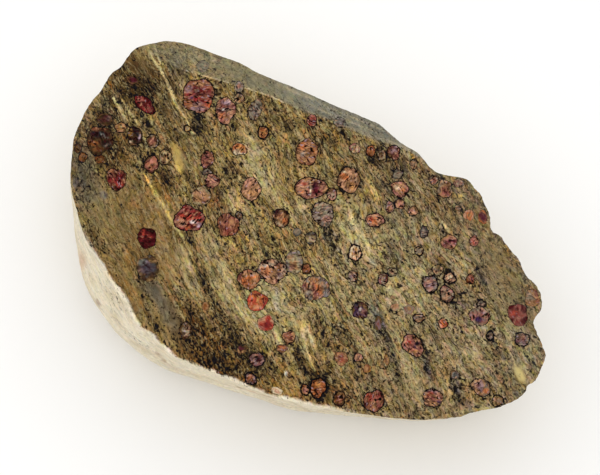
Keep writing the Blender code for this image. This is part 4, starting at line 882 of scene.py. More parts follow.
def triangulate(crystals):
    """Spots and triangles of the polished face, with a hole for each crystal."""
    edge = EDGE_OUTLINE.points
    parts = [edge] + [crystal.outline.points for crystal in crystals]
    ties, start = [], 0
    for part in parts:
        count = len(part)
        ties.extend((start + i, start + (i + 1) % count) for i in range(count))
        start += count
    cols = np.arange(CREASE[0][0], CREASE[-1][0], PITCH)
    rows = along_line(CREASE, cols)
    kept = np.flatnonzero(clear_spots(cols, rows, crystals))
    ties.extend((start + i, start + i + 1) for i in np.flatnonzero(np.diff(kept) == 1).tolist())
    crease = np.stack([cols[kept], rows[kept]], axis=1)
    grid = face_points(crystals)
    off_crease = np.abs(np.interp(grid[:, 0], cols, rows) - grid[:, 1]) > PITCH * CREASE_CLEAR
    spots = np.concatenate(parts + [crease, grid[off_crease]])
    flat = [Vector(spot) for spot in spots.tolist()]
    verts, _, faces, _, _, _ = delaunay_2d_cdt(flat, ties, [list(range(len(edge)))], 1, 1e-6)
    if len(verts) != len(spots):
        raise ValueError(f"{len(verts) - len(spots)} points were added: outlines cross")
    faces = np.array(faces)
    middle = spots[faces].mean(axis=1)
    keep = np.ones(len(faces), bool)
    for crystal in crystals:
        distance, limit = crystal.outline.reach(*middle.T)
        keep &= distance > limit * INSIDE
    return spots, faces[keep]


def plan_profile():
    """Calm edge radius and the skin's bulge and widest height in mm, degree by degree."""
    cols, rows = EDGE_OUTLINE.points.T
    points = place(cols, rows, surface_height(cols, rows))
    angle = np.arctan2(points[:, 1], points[:, 0]) % math.tau
    order = np.argsort(angle)
    even = np.radians(np.arange(0, 360, 1.0))
    radius = np.interp(even, angle[order], np.hypot(*points[order, :2].T), period=math.tau)
    at, *drawn = zip(*SKIN)
    tables = [radius] + [np.interp(even, np.radians(at), row, period=math.tau) for row in drawn]
    calmed = [np.mean([np.roll(table, step) for step in range(-span, span + 1)], axis=0)
              for table, span in zip(tables, CALM_SPANS)]
    return even, calmed


def swell(angle, height):
    """Low swells of the weathered skin, in mm."""
    wave = sum(weight * np.sin(waves * angle + twist * height + phase)
               for waves, twist, phase, weight in SWELLS)
    return LUMP * wave / sum(weight for *_, weight in SWELLS)


def skin_relief(arc, height):
    """Small pits and bumps of the weathered skin, in mm."""
    bumps = 0.16 * fractal(arc / 3.2, height / 2.6, 41) + 0.07 * fractal(arc / 1.1, height, 43)
    pits = smooth(0.32, 0.75, fractal(arc / 1.7, height / 1.5, 47))
    return bumps - 0.16 * pits


def skin_rows(top):
    """Level lines in mm from the edge of the cut surface down to the base and its middle."""
    angle = np.arctan2(top[:, 1], top[:, 0]) % math.tau
    radius = np.hypot(top[:, 0], top[:, 1])
    even, calmed = plan_profile()
    calm, bulge, widest = (np.interp(angle, even, table, period=math.tau) for table in calmed)
    steps = np.hypot(*np.diff(top[:, :2], axis=0).T)
    arc = np.concatenate([[0], np.cumsum(steps)])
    lines = []
    for level in range(1, SKIN_ROWS + 1):
        share = (level / SKIN_ROWS) ** SKIN_CROWDING
        reach = np.where(bulge > 0, 1 - (1 - share) ** BULGE_CURVE, share ** TUCK_CURVE)
        height = top[:, 2] + (widest - top[:, 2]) * share
        out = radius + (calm - radius) * share + bulge * reach + swell(angle, height) * share
        lines.append((out + skin_relief(arc, height) * min(1.0, share * 6), height))
    for level in range(1, FOOT_ROWS + 1):
        turn = math.pi / 2 * level / FOOT_ROWS
        height = widest * (1 - math.sin(turn))
        inset = BASE_INSET * (1 - math.cos(turn))
        out = calm + bulge - inset + swell(angle, height)
        lines.append((out + skin_relief(arc, height + 40) * math.cos(turn), height))
    rows = [np.stack([out * np.cos(angle), out * np.sin(angle), height], axis=1)
            for out, height in lines]
    base = rows[-1]
    for ring in range(1, BASE_ROWS + 1):
        shrink = 1 - ring / (BASE_ROWS + 1)
        rows.append(base * np.array([shrink, shrink, 1.0]))
    return rows, arc


def pocket(crystal, scale=1.0):
    """The ring below a socket's rim and the socket's lowest point, in mm."""
    rim = place_on_face(*crystal.outline.points.T)
    middle = rim.mean(axis=0)
    depth = SOCKET_DEPTH * np.hypot(*(rim - middle)[:, :2].T).mean() * scale
    down = np.array([0, 0, depth])
    ring = middle + (rim - middle) * SOCKET_TAPER * scale - SOCKET_FLOOR * down
    return ring, middle - down


def rings_to_quads(upper, lower):
    """Quads between two closed rings of point numbers."""
    return np.stack([upper, np.roll(upper, -1), np.roll(lower, -1), lower], axis=1)


def ring_to_fan(ring, hub):
    """Triangles between a closed ring of point numbers and one point."""
    return np.stack([ring, np.roll(ring, -1), np.full(len(ring), hub)], axis=1)


class Rock:
    """The rock's points in mm, its faces, and what its bake map and painting need."""

    def __init__(self, crystals):
        self.spots, flat_faces = triangulate(crystals)
        self.count = len(EDGE_OUTLINE.points)
        points = place_on_face(*self.spots.T)
        rows, self.arc = skin_rows(points[:self.count])
        groups, blocks, extra_spots = [flat_faces], [points], []
        total, start = len(points), self.count
        for crystal in crystals:
            rim = start + np.arange(len(crystal.outline.points))
            start += len(rim)
            ring, low = pocket(crystal)
            ring_ids = total + np.arange(len(rim))
            groups += [rings_to_quads(rim, ring_ids), ring_to_fan(ring_ids, total + len(rim))]
            blocks += [ring, low[None]]
            hub = np.array(crystal.outline.hub)
            extra_spots += [hub + (crystal.outline.points - hub) * SOCKET_TAPER, hub[None]]
            total += len(rim) + 1
        self.spots = np.concatenate([self.spots] + extra_spots)
        self.on_face = sum(len(group) for group in groups)
        above = np.arange(self.count)
        for row in rows:
            below = total + np.arange(self.count)
            groups.append(rings_to_quads(above, below))
            blocks.append(row)
            above, total = below, total + self.count
        groups.append(ring_to_fan(above, total))
        blocks.append(np.zeros((1, 3)))
        self.points, self.faces = np.concatenate(blocks), groups
        self.skin = self.points[len(self.spots):]
        self.skin_arc = np.append(np.tile(self.arc, len(rows)), 0.0)


# ---------------------------------------------------------------------- painting the rock
def flow_field(points):
    """Coordinates in mm along, across and through the layering of the rock."""
    angle = math.radians(FOLIATION + 1.5)
    x, y, z = points.T
    along = x * math.cos(angle) - y * math.sin(angle)
    across = x * math.sin(angle) + y * math.cos(angle) + 0.32 * z
    across = across - 0.06 * along * smooth(8, 44, x)
    across = across + 1.7 * fractal(along / 19, across / 12, 91, 2)
    across = across + 0.5 * fractal(along / 6, across / 3.5, 95, 2)
    return np.stack([along, across, z], axis=1)


def vein_distance(col, row, points):
    """Distance of spots from a line of points, growing towards its ends."""
    points = np.asarray(points, float)
    low, high = points.min(axis=0) - FAR, points.max(axis=0) + FAR
    close = (col > low[0]) & (col < high[0]) & (row > low[1]) & (row < high[1])
    c, r = col[close], row[close]
    best = np.full(len(c), 1e3)
    legs = len(points) - 1
    for leg in range(legs):
        start, run = points[leg], points[leg + 1] - points[leg]
        share = ((c - start[0]) * run[0] + (r - start[1]) * run[1]) / (run @ run)
        share = np.clip(share, 0, 1)
        gap = np.hypot(c - start[0] - share * run[0], r - start[1] - share * run[1])
        taper = 1 + VEIN_TAPER * np.abs(2 * (leg + share) / legs - 1) ** VEIN_CURVE
        best = np.minimum(best, gap * taper)
    nearest = np.full(len(col), 1e3)
    nearest[close] = best
    return nearest


def patch_reach(col, row, patch, ragged):
    """How far out spots lie in a soft oval patch: 0 at its middle, 1 at its outline."""
    *middle, long, wide, slope = patch
    along, across = turned(col, row, slope, middle)
    return np.hypot(along / long, across / wide) + ragged


def strongest(col, row, patches, ragged, low, high):
    """Strength of the strongest of some soft patches at each spot."""
    best = np.zeros(len(col))
    for *patch, strength in patches:
        share = fade(low, high, patch_reach(col, row, patch, ragged))
        best = np.maximum(best, strength * share)
    return best


def paint_zones(col, row, colours, flecks):
    """Lay the soft patches and veins on spots of the polished face."""
    wobble = 0.30 * fractal(col / 9, row / 9, 61)
    for *patch, tone, strength, density in ZONES:
        share = fade(0.35, 1.15, patch_reach(col, row, patch, wobble))
        colours = blend(colours, tone, strength * share)
        flecks = flecks + density * share
    ragged = 1 + 0.55 * fractal(col / 5, row / 5, 71)
    gaps = smooth(-0.95, -0.15, fractal(col / 2.8, row / 2.8, 77, 2))
    for points, half, tone, strength in VEINS:
        across = vein_distance(col, row, points) / (half * ragged)
        share = strength * gaps * fade(0.35, 1.1, across)
        colours = blend(colours, tone, share)
        flecks = flecks - VEIN_CLEARING * share
    calm = strongest(col, row, CALMS, wobble, 0.6, 1.2)
    return colours, flecks, calm


def paint_facet(col, row, colours):
    """Painted sheen of the second facet, its reflection of the bright surround laid into its tone
    as grey-green haze, then its fine grinding lines, and where it lies.
    """
    facet = smooth(-1.5, 3.0, along_line(CREASE, col) - row)
    facet_sheen = blend(plain("haze", len(col)), "steel", smooth(255, 320, col))
    # Painted sheen: the facet's reflection of the bright surround mixed into its colour, stronger
    # to the right.
    colours = blend(colours, facet_sheen, facet * (0.35 + 0.35 * smooth(185, 260, col)))
    along, across = turned(col, row, FACET_SLOPE)
    stripes = fractal(along / 60, across / 1.7, 44, 2) * facet * smooth(250, 310, col)
    colours = blend(colours, "slate", 0.55 * smooth(0.1, 0.6, stripes))
    return blend(colours, "cream", 0.30 * smooth(0.1, 0.6, -stripes)), facet


def nearest_rim(col, row, crystals):
    """Distance of spots from the nearest crystal, and how dark that one's rim is."""
    nearest, strength = np.full(len(col), FAR), np.zeros(len(col))
    for crystal in crystals:
        distance, limit = crystal.outline.reach(col, row)
        beyond = distance - limit
        strength = np.where(beyond < nearest, crystal.rim, strength)
        nearest = np.minimum(nearest, beyond)
    return nearest, strength


def paint_face(spots, crystals):
    """Tones of spots of the polished face, their flecks, clots and polish, and their rims."""
    col, row = spots.T
    along, across = turned(col, row, FOLIATION)
    across = across + 4 * fractal(along / 70, across / 40, 21, 2)
    to_right = smooth(290, 430, col)
    streak = fractal(along / 46, across / 7.5, 22)
    colours = blend(plain("khaki", len(col)), "olive", smooth(-0.1, 0.6, streak) * 0.7)
    colours = blend(colours, "tan", smooth(0.05, 0.7, -streak) * 0.6)
    colours = blend(colours, "stone", 0.6 * to_right)
    flecks = 0.46 - 0.08 * to_right + 0.30 * fractal(along / 30, across / 8, 24)
    colours, flecks, calm = paint_zones(col, row, colours, flecks)
    clots = strongest(col, row, CLOTS, 0.55 * fractal(col / 2.6, row / 2.6, 73, 2), 0.55, 1.1)
    colours, facet = paint_facet(col, row, colours)
    # On the second facet: fewer flecks and a calmer grain, as part of its painted sheen, the veil
    # of reflected light over its grain.
    flecks = flecks - 0.30 * facet
    calm = np.maximum(calm, (0.3 + 0.35 * smooth(185, 260, col)) * facet)
    fine = fractal(along / 15, across / 2.6, 26)
    colours = blend(colours, "pale", smooth(0.25, 0.8, fine) * 0.35)
    colours = blend(colours, "brown", smooth(0.25, 0.8, -fine) * 0.35)
    rusty = smooth(0.45, 0.9, fractal(along / 9, across / 5, 28))
    colours = blend(colours, "rust", rusty * 0.3)
    nearest, strength = nearest_rim(col, row, crystals)
    flecks = flecks + 0.2 * fade(0.5, 5.0, nearest) * strength

    distance, limit = EDGE_OUTLINE.reach(col, row)
    inside = limit - distance
    ragged = inside - 2.4 - 4.0 * fractal(col / 15, row / 15, 83, 4)
    low_left = smooth(222, 262, row) * fade(320, 370, col)
    colours = blend(colours, "rust", 0.4 * low_left * fade(0.5, 4.5, ragged))
    chip = low_left * fade(-1.5, 1.5, ragged)
    colours = blend(colours, "skin", chip)
    flecks, calm = flecks - 0.6 * chip, np.maximum(calm, SKIN_CALM * chip)
    polish = polish_at(col, row) * smooth(0.0, 2.5, inside) * (1 - chip)
    grit = np.stack([np.clip(flecks, -0.3, 1), clots, polish], axis=1)
    return colours, grit, np.stack([nearest, strength, calm], axis=1)


def paint_skin(points, arc):
    """Tones of points of the weathered skin, and their flecks."""
    x, y, z = points.T
    angle, radius = np.degrees(np.arctan2(y, x)) % 360, np.hypot(x, y)
    mottle = fractal(arc / 6, z / 4, 31)
    colours = blend(plain("skin", len(points)), "dun", smooth(-0.1, 0.8, mottle) * 0.7)
    colours = blend(colours, "white", smooth(0.1, 0.8, -mottle) * 0.4)
    along, across, _ = flow_field(points).T
    lines = fractal(along / 16, across / 1.6, 33)
    colours = blend(colours, "dun", smooth(0.15, 0.8, lines) * 0.5)
    colours = blend(colours, "khaki", smooth(0.4, 0.95, lines) * 0.45)
    for at, height, half_wide, half_high, tone, strength in SKIN_STAINS:
        gap = (angle - at + 180) % 360 - 180
        reach = np.hypot(np.radians(gap) * radius / half_wide, (z - height) / half_high)
        colours = blend(colours, tone, strength * fade(0.3, 1.2, reach + 0.35 * mottle))
    total = arc.max()
    for spot in range(SKIN_GARNETS):
        where, height, size, hue = (draw(spot, kind, 301) for kind in range(4))
        size = GARNET_LEAST + GARNET_MORE * size ** 2
        gap = (arc - where * total + total / 2) % total - total / 2
        rise = z - GARNET_LOW - GARNET_BAND * height
        reach = np.hypot(gap / size, rise / size) + 0.2 * mottle
        tone = "rose" if hue > 0.55 else "clay"
        colours = blend(colours, tone, GARNET_SHARE * fade(0.5, 1.1, reach))
    flecks = -0.35 + 0.45 * smooth(0.1, 0.7, fractal(arc / 9, z / 5, 35))
    return colours, np.stack([flecks, flecks * 0, flecks * 0], axis=1)


def paint_crystal(crystal, spots, share_out):
    """Tones of spots of one garnet section; share_out is 0 at its hub and 1 at its rim."""
    col, row = spots.T
    middle, mid, outer = crystal.tones
    seed = 500 + crystal.seed
    drift = share_out + 0.9 * fractal(col / 5, row / 5, seed)
    colours = blend(plain(middle, len(col)), mid, smooth(0.25, 0.6, drift))
    colours = blend(colours, outer, smooth(0.65, 0.95, drift))
    patch = fractal(col / 3.1, row / 3.1, seed + 40)
    colours = blend(colours, mid, smooth(0.2, 0.6, patch) * 0.6)
    wobble = 0.35 * fractal(col / 3.4, row / 3.4, seed + 80)
    # Touches of tone; some of them are painted highlights, glints of light off the polished
    # crystal.
    for *patch, tone, strength in crystal.touches:
        share = fade(0.5, 1.15, patch_reach(col, row, patch, wobble))
        colours = blend(colours, tone, strength * share)
    return colours


# ------------------------------------------------------------------------ making objects
def new_object(name, points, groups, material):
    """A mesh object from points in mm and groups of faces, with outward normals."""
    mesh = bpy.data.meshes.new(name)
    faces = [face for group in groups for face in group.tolist()]
    mesh.from_pydata((points * MM).tolist(), [], faces)
    bm = bmesh.new()
    bm.from_mesh(mesh)
    bmesh.ops.recalc_face_normals(bm, faces=bm.faces)
    bm.to_mesh(mesh)
    bm.free()
    mesh.materials.append(material)
    mesh.shade_smooth()
    mesh.set_sharp_from_angle(angle=SHARP)
    obj = bpy.data.objects.new(name, mesh)
    bpy.context.scene.collection.objects.link(obj)
    return obj


def add_paint(mesh, tones, **layers):
    """A tone and some named sets of three numbers for each point."""
    rgba = np.ones((len(tones), 4), np.float32)
    rgba[:, :3] = tones
    layer = mesh.color_attributes.new("tone", "FLOAT_COLOR", "POINT")
    layer.data.foreach_set("color", rgba.ravel())
    for name, rows in layers.items():
        layer = mesh.attributes.new(name, "FLOAT_VECTOR", "POINT")
        layer.data.foreach_set("vector", np.asarray(rows, np.float32).ravel())


def add_bake_map(mesh, uv):
    """A place on the bake map for each face corner."""
    mesh.uv_layers.new(name="OFBake").data.foreach_set("uv", uv.ravel())


def loop_table(mesh):
    """Point number and face number of each face corner."""
    loops = np.empty(len(mesh.loops), np.int64)
    mesh.loops.foreach_get("vertex_index", loops)
    sizes = np.empty(len(mesh.polygons), np.int64)
    mesh.polygons.foreach_get("loop_total", sizes)
    return loops, np.repeat(np.arange(len(sizes)), sizes)


def rock_bake_map(mesh, rock):
    """A map of the rock: the polished face takes most of it, the skin and base the rest."""
    loops, poly = loop_table(mesh)
    on_face = poly < rock.on_face
    at = rock.spots[np.minimum(loops, len(rock.spots) - 1)]
    uv = (at - (FACE_COLS[0], FACE_ROWS[0])) * (FACE_TEXELS, -FACE_TEXELS)
    uv = uv + (MARGIN, 1 - MARGIN)

    count, skin_levels = rock.count, SKIN_ROWS + FOOT_ROWS
    quad = poly - rock.on_face
    on_wall = (quad >= 0) & (quad < skin_levels * count)
    beyond = loops - len(rock.spots)
    station = np.where(beyond < 0, loops, beyond % count)
    level = np.where(beyond < 0, 0, 1 + beyond // count)
    wraps = (quad % count == count - 1) & (station == 0)
    along = np.where(wraps, count, station) / count
    uv[on_wall, 0] = MARGIN + (1 - 2 * MARGIN) * along[on_wall]
    uv[on_wall, 1] = WALL_TOP - WALL_SPAN * level[on_wall] / skin_levels

    on_base = ~on_face & ~on_wall
    uv[on_base] = np.array(BASE_SPOT) + rock.points[loops[on_base], :2] * BASE_TEXELS
    add_bake_map(mesh, uv)


def make_rock(crystals, material):
    """The polished cobble with an empty socket for each crystal."""
    rock = Rock(crystals)
    obj = new_object("polished_matrix", rock.points, rock.faces, material)
    face_tones, face_grit, face_rim = paint_face(rock.spots, crystals)
    skin_tones, skin_grit = paint_skin(rock.skin, rock.skin_arc)
    skin_rim = np.tile((FAR, 0, SKIN_CALM), (len(rock.skin), 1))
    add_paint(obj.data, np.concatenate([face_tones, skin_tones]),
              grit=np.concatenate([face_grit, skin_grit]), flow=flow_field(rock.points),
              rim=np.concatenate([face_rim, skin_rim]))
    rock_bake_map(obj.data, rock)
    return obj


class Section:
    """One garnet section: its points in mm, faces, paint and places on the bake map."""

    def __init__(self, crystal, corner, cell):
        outline, hub = crystal.outline, np.array(crystal.outline.hub)
        size = np.hypot(*(outline.points - hub).T).mean()
        inner = max(INNER_LEAST, 1 - RIM_STEPS[-1] / size)
        shares = [max(inner, 1 - step / size) for step in RIM_STEPS if step / size < INNER_LEAST]
        steps = max(LEAST_RINGS, math.ceil(size * shares[-1] / INNER_STEP))
        shares += [shares[-1] * (1 - step / steps) for step in range(1, steps)]
        rings = [hub + (outline.points - hub) * share for share in shares]
        spots = np.concatenate(rings + [hub[None]])
        top = place_on_face(*spots.T)
        floor, low = pocket(crystal, SOCKET_FIT)
        count, ids = len(outline.points), np.arange(len(outline.points))
        under = len(top) + ids
        upper = [rings_to_quads(ring * count + ids, (ring + 1) * count + ids)
                 for ring in range(len(rings) - 1)]
        upper.append(ring_to_fan((len(rings) - 1) * count + ids, len(top) - 1))
        lower = [rings_to_quads(ids, under), ring_to_fan(under, len(top) + count)]
        self.groups = upper + lower
        self.points = np.concatenate([top, floor, low[None]])
        self.hidden = np.repeat([False, True], [sum(map(len, upper)), sum(map(len, lower))])

        share_out = np.append(np.repeat(shares, count), 0.0)
        tones = paint_crystal(crystal, spots, share_out)
        depth_in = np.append((1 - share_out) * size, np.full(count + 1, FAR))
        self.tones = np.concatenate([tones, np.tile(tones[-1], (count + 1, 1))])
        self.rim = np.stack([depth_in, depth_in * 0 + crystal.rim, depth_in * 0], axis=1)
        turn, shift = GRAIN_TURN * crystal.seed, GRAIN_SHIFT * crystal.seed
        along, across = turned(*self.points[:, :2].T, turn, self.points[-1, :2])
        self.grain = np.stack([along, across, self.points[:, 2] + shift], axis=1)

        unit = (spots - hub) / np.abs(outline.points - hub).max()
        rim_unit, middle = unit[:count], np.zeros((1, 2))
        shown = np.concatenate([unit, rim_unit, middle])
        inner = np.zeros((len(unit) - count, 2))
        hidden = np.concatenate([rim_unit, inner, HIDDEN_RING * rim_unit, middle])
        self.shown_map = corner + (SHOWN_SPOT + SHOWN_REACH * shown) * cell
        self.hidden_map = corner + (HIDDEN_SPOT + HIDDEN_REACH * hidden) * cell


def make_sections(name, crystals, material):
    """One object that holds some garnet sections."""
    across = math.ceil(math.sqrt(len(crystals)))
    parts = [Section(crystal, np.array([number % across, number // across]) / across, 1 / across)
             for number, crystal in enumerate(crystals)]

    def joined(field):
        return np.concatenate([getattr(part, field) for part in parts])

    starts = np.cumsum([0] + [len(part.points) for part in parts])
    groups = [group + start for part, start in zip(parts, starts) for group in part.groups]
    obj = new_object(name, joined("points"), groups, material)
    add_paint(obj.data, joined("tones"), rim=joined("rim"), flow=joined("grain"))
    loops, poly = loop_table(obj.data)
    hidden, shown_map, hidden_map = map(joined, ("hidden", "shown_map", "hidden_map"))
    uv = np.where(hidden[poly][:, None], hidden_map[loops], shown_map[loops])
    add_bake_map(obj.data, uv)
    return obj


# ------------------------------------------------------------------------------ materials
class Graph:
    """A node tree, made by short calls that return output sockets."""

    def __init__(self, tree):
        self.nodes, self.links = tree.nodes, tree.links

    def feed(self, socket, value):
        """Link an input socket to an output, or set its value."""
        if isinstance(value, bpy.types.NodeSocket):
            self.links.new(value, socket)
        else:
            socket.default_value = value

    def node(self, kind, inputs, **settings):
        """A node with its settings, and what its numbered or named inputs are fed."""
        made = self.nodes.new(kind)
        for setting, value in settings.items():
            setattr(made, setting, value)
        for key, value in inputs.items() if isinstance(inputs, dict) else enumerate(inputs):
            self.feed(made.inputs[key], value)
        return made

    def attribute(self, name, output="Vector"):
        return self.node("ShaderNodeAttribute", (), attribute_name=name).outputs[output]

    def math(self, operation, *values):
        return self.node("ShaderNodeMath", values, operation=operation).outputs[0]

    def add_to(self, base, value, gain):
        """A value times a gain, added to a base."""
        return self.math("MULTIPLY_ADD", value, gain, base)

    def product(self, first, second):
        return self.math("MULTIPLY", first, second)

    def less(self, first, second):
        return self.math("SUBTRACT", first, second)

    def largest(self, first, *others):
        for other in others:
            first = self.math("MAXIMUM", first, other)
        return first

    def off_middle(self, noise):
        """How far a noise is from its middle value."""
        return self.math("ABSOLUTE", self.less(noise, 0.5))

    def scaled(self, vector, scale, offset=(0, 0, 0)):
        """A vector times a scale on each axis, plus an offset."""
        inputs = (vector, scale, offset)
        return self.node("ShaderNodeVectorMath", inputs, operation="MULTIPLY_ADD").outputs[0]

    def drawn_out(self, vector, stretch, offset):
        """A vector for patterns that are drawn out along its first axis."""
        return self.scaled(vector, (stretch, 1.0, 1.0), offset)

    def noise(self, vector, scale, detail=2.0, roughness=0.55, distortion=0.0, output="Fac"):
        inputs = {"Vector": vector, "Scale": scale, "Detail": detail, "Roughness": roughness,
                  "Distortion": distortion}
        return self.node("ShaderNodeTexNoise", inputs).outputs[output]

    def noises(self, vector, looks):
        """Noises by name, each drawn out, offset and made as its look says."""
        return {name: self.noise(self.drawn_out(vector, stretch, offset), *look)
                for name, (stretch, offset, *look) in looks.items()}

    def cells(self, vector, stretch, offset, scale, feature="F1", output="Color"):
        inputs = {"Vector": self.drawn_out(vector, stretch, offset), "Scale": scale}
        return self.node("ShaderNodeTexVoronoi", inputs, feature=feature).outputs[output]

    def step(self, value, low, high, floor=0.0, top=1.0):
        """Smooth step of a value between low and high, from floor to top."""
        inputs = (value, low, high, floor, top)
        made = self.node("ShaderNodeMapRange", inputs, interpolation_type="SMOOTHSTEP")
        return made.outputs["Result"]

    def mix(self, share, first, second, blend_type="MIX"):
        """Two colours mixed by a share."""
        inputs = {0: share, 6: first, 7: second}
        made = self.node("ShaderNodeMix", inputs, data_type="RGBA", blend_type=blend_type)
        return made.outputs[2]

    def tinted(self, colour, by):
        """A colour multiplied by another."""
        return self.mix(1.0, colour, by, "MULTIPLY")

    def lit(self, colour, light):
        """A colour made lighter or darker."""
        grey = self.node("ShaderNodeCombineXYZ", [light, light, light]).outputs[0]
        return self.tinted(colour, grey)

    def ramp(self, value, stops):
        """Colour of a value from a list of (position, colour) stops."""
        made = self.node("ShaderNodeValToRGB", [value])
        elements = made.color_ramp.elements
        for number, (position, colour) in enumerate(stops):
            stop = elements[number] if number < 2 else elements.new(position)
            stop.position, stop.color = position, (*colour, 1.0)
        return made.outputs["Color"]

    def split(self, vector):
        return self.node("ShaderNodeSeparateXYZ", [vector]).outputs

    def finish(self, node, **sockets):
        """Feed a node's sockets, named with underscores for spaces."""
        for name, value in sockets.items():
            self.feed(self.nodes[node].inputs[name.replace("_", " ")], value)


def new_material(name):
    """A material and its graph."""
    material = bpy.data.materials.new(name)
    material.use_nodes = True
    return material, Graph(material.node_tree)


def opaque(tone):
    """A named tone as a colour socket's value."""
    return (*TONE[tone], 1.0)


SHADER = "Principled BSDF"
GLOSS = 0.15            # specular level of the polished stone
# Hue of a grain by chance, where 0.5 leaves its tone as it is.
GRAIN_HUES = [
    (0.0, (0.40, 0.43, 0.46)), (1.0, (0.62, 0.57, 0.58)), (0.14, (0.58, 0.48, 0.38)),
    (0.28, (0.50, 0.50, 0.50)), (0.42, (0.64, 0.50, 0.46)), (0.56, (0.48, 0.52, 0.44)),
    (0.70, (0.64, 0.60, 0.46)), (0.84, (0.42, 0.44, 0.44)),
]
# Hue of a band of the layering, where 0.5 leaves it as it is.
BAND_HUES = [
    (0.25, (0.46, 0.50, 0.50)), (0.80, (0.48, 0.50, 0.48)), (0.38, (0.49, 0.50, 0.46)),
    (0.48, (0.56, 0.50, 0.38)), (0.55, (0.50, 0.50, 0.50)), (0.64, (0.53, 0.52, 0.44)),
]
# Noises: stretch along the layering, offset, scale, detail, roughness and distortion.
ROCK_NOISES = {
    "streaks": (0.13, (0, 0, 0), 1.5, 3.0, 0.6), "bands": (0.16, (7, 3, 0), 0.7, 2.0, 0.6),
    "grain": (0.6, (0, 0, 0), 2.7, 2.0, 0.65), "strands": (0.12, (13, 6, 1), 1.2, 2.0, 0.5),
    "needles": (0.5, (5, 2, 9), 1.9, 1.0, 0.5), "motes": (0.7, (2, 8, 5), 2.6, 1.0, 0.5),
    "waves": (0.42, (1, 6, 3), 1.5, 2.0, 0.5), "breaks": (0.5, (1, 6, 3), 1.35, 1.0),
}
GARNET_NOISES = {
    "patches": (0.6, (0, 0, 0), 1.0, 3.0, 0.6, 0.6), "fine": (0.6, (3, 1, 4), 2.8, 2.0, 0.6),
    "bends": (0.5, (0, 0, 0), 0.9, 2.0, 0.5, 0.8), "breaks": (1.0, (0, 0, 0), 1.0, 1.0),
    "warm": (0.7, (7, 3, 1), 1.1, 2.0), "chalky": (0.5, (17, 9, 5), 2.0, 2.0),
    "milky": (0.4, (4, 29, 15), 2.6, 1.0),
}
# Cloudy patches of a garnet: noise, where it starts and is full, share, tone.
CLOUDS = [
    ("warm", 0.53, 0.60, 0.35, "clay"), ("chalky", 0.57, 0.64, 1.0, "salmon"),
    ("milky", 0.66, 0.71, 1.0, "lilac"),
]


def dark_rim(g, distance, strength, position, width):
    """Darkness of the ragged dark rim between a garnet and the rock."""
    ragged = g.add_to(-1.8, g.noise(position, 2.2, 2.0, 0.6), 3.6)
    reach = g.add_to(-0.25, strength, width)
    inside = g.less(reach, g.math("ADD", distance, ragged))
    return g.step(inside, -0.35, 0.35)


def rock_material():
    """Garnet schist: layered tones, grains and dark flecks, polished or weathered."""
    schist, g = new_material("garnet_schist")
    flow = g.attribute("flow")
    density, clots, polish = g.split(g.attribute("grit"))
    distance, strength, calm = g.split(g.attribute("rim"))
    life = g.less(1.0, calm)
    wander = g.noise(flow, 1.1, 2.0, 0.5, output="Color")
    flow = g.scaled(wander, (0.8, 0.8, 0.5), flow)
    drawn = g.noises(flow, ROCK_NOISES)
    grain, bands = drawn["grain"], drawn["bands"]
    lens = g.split(g.cells(flow, 0.34, (3, 0, 0), 1.45))
    speck = g.split(g.cells(flow, 0.6, (9, 4, 0), 3.0))
    seams = g.cells(flow, 0.42, (2, 8, 5), 1.5, "DISTANCE_TO_EDGE", "Distance")
    seams = g.step(g.add_to(seams, grain, 0.30), 0.13, 0.30, 1.0, 0.0)

    light = -2.66
    for pattern, gain in ((drawn["streaks"], 2.2), (bands, 1.1), (grain, 1.5), (lens[1], 0.50),
                          (speck[0], 0.20), (seams, -0.42)):
        light = g.add_to(light, pattern, gain)
    light = g.largest(g.add_to(0.87, light, life), 0.08)
    colour = g.lit(g.attribute("tone", "Color"), light)
    hues = g.tinted(g.ramp(lens[0], GRAIN_HUES), g.ramp(bands, BAND_HUES))
    hued = g.tinted(colour, g.tinted(hues, (4, 4, 4, 1)))
    colour = g.mix(g.product(life, 0.8), colour, hued)
    drift = g.noise(g.drawn_out(flow, 0.5, (4, 4, 4)), 1.1, 2.0, 0.5, output="Color")
    drift = g.scaled(drift, (0.9, 0.0, 2.0), (0.55, 1.0, 0.0))
    colour = g.mix(life, colour, g.tinted(colour, drift))
    strands = g.add_to(g.off_middle(drawn["strands"]), grain, 0.06)
    strands = g.product(g.step(strands, 0.03, 0.065, 1.0, 0.0), life)
    colour = g.mix(g.product(strands, 0.55), colour, opaque("wheat"))

    limit = g.add_to(g.add_to(0.772, seams, -0.09), density, -0.24)
    needles, motes = g.less(drawn["needles"], limit), g.less(drawn["motes"], limit)
    lines = g.add_to(g.add_to(-0.172, drawn["breaks"], 0.26), density, 0.07)
    lines = g.less(lines, g.off_middle(drawn["waves"]))
    brown = g.largest(g.step(needles, -0.12, 0.05), g.step(motes, -0.11, 0.05),
                      g.step(lines, -0.07, 0.03))
    colour = g.mix(g.product(brown, 0.75), colour, opaque("umber"))
    clots = g.step(g.add_to(g.math("ADD", clots, -1.1), grain, 2.0), 0.42, 0.72)
    dark = g.largest(g.step(needles, 0.0, 0.085), g.step(motes, 0.0, 0.09),
                     g.step(lines, 0.0, 0.045), clots)
    dark = g.largest(g.product(dark, 0.96), dark_rim(g, distance, strength, flow, 1.0))
    inky = g.mix(g.step(grain, 0.4, 0.6), opaque("black"), opaque("night"))
    colour = g.mix(dark, colour, inky)

    matte = g.less(1.0, polish)
    rough = g.add_to(g.add_to(0.17, matte, 0.45), grain, 0.06)
    relief = {"Height": g.add_to(g.noise(flow, 1.5, 4.0), grain, 0.5),
              "Strength": g.product(matte, 0.8), "Distance": 0.0003}
    normal = g.node("ShaderNodeBump", relief).outputs["Normal"]
    g.finish(SHADER, Base_Color=colour, Roughness=rough, Specular_IOR_Level=GLOSS, Normal=normal)
    return schist


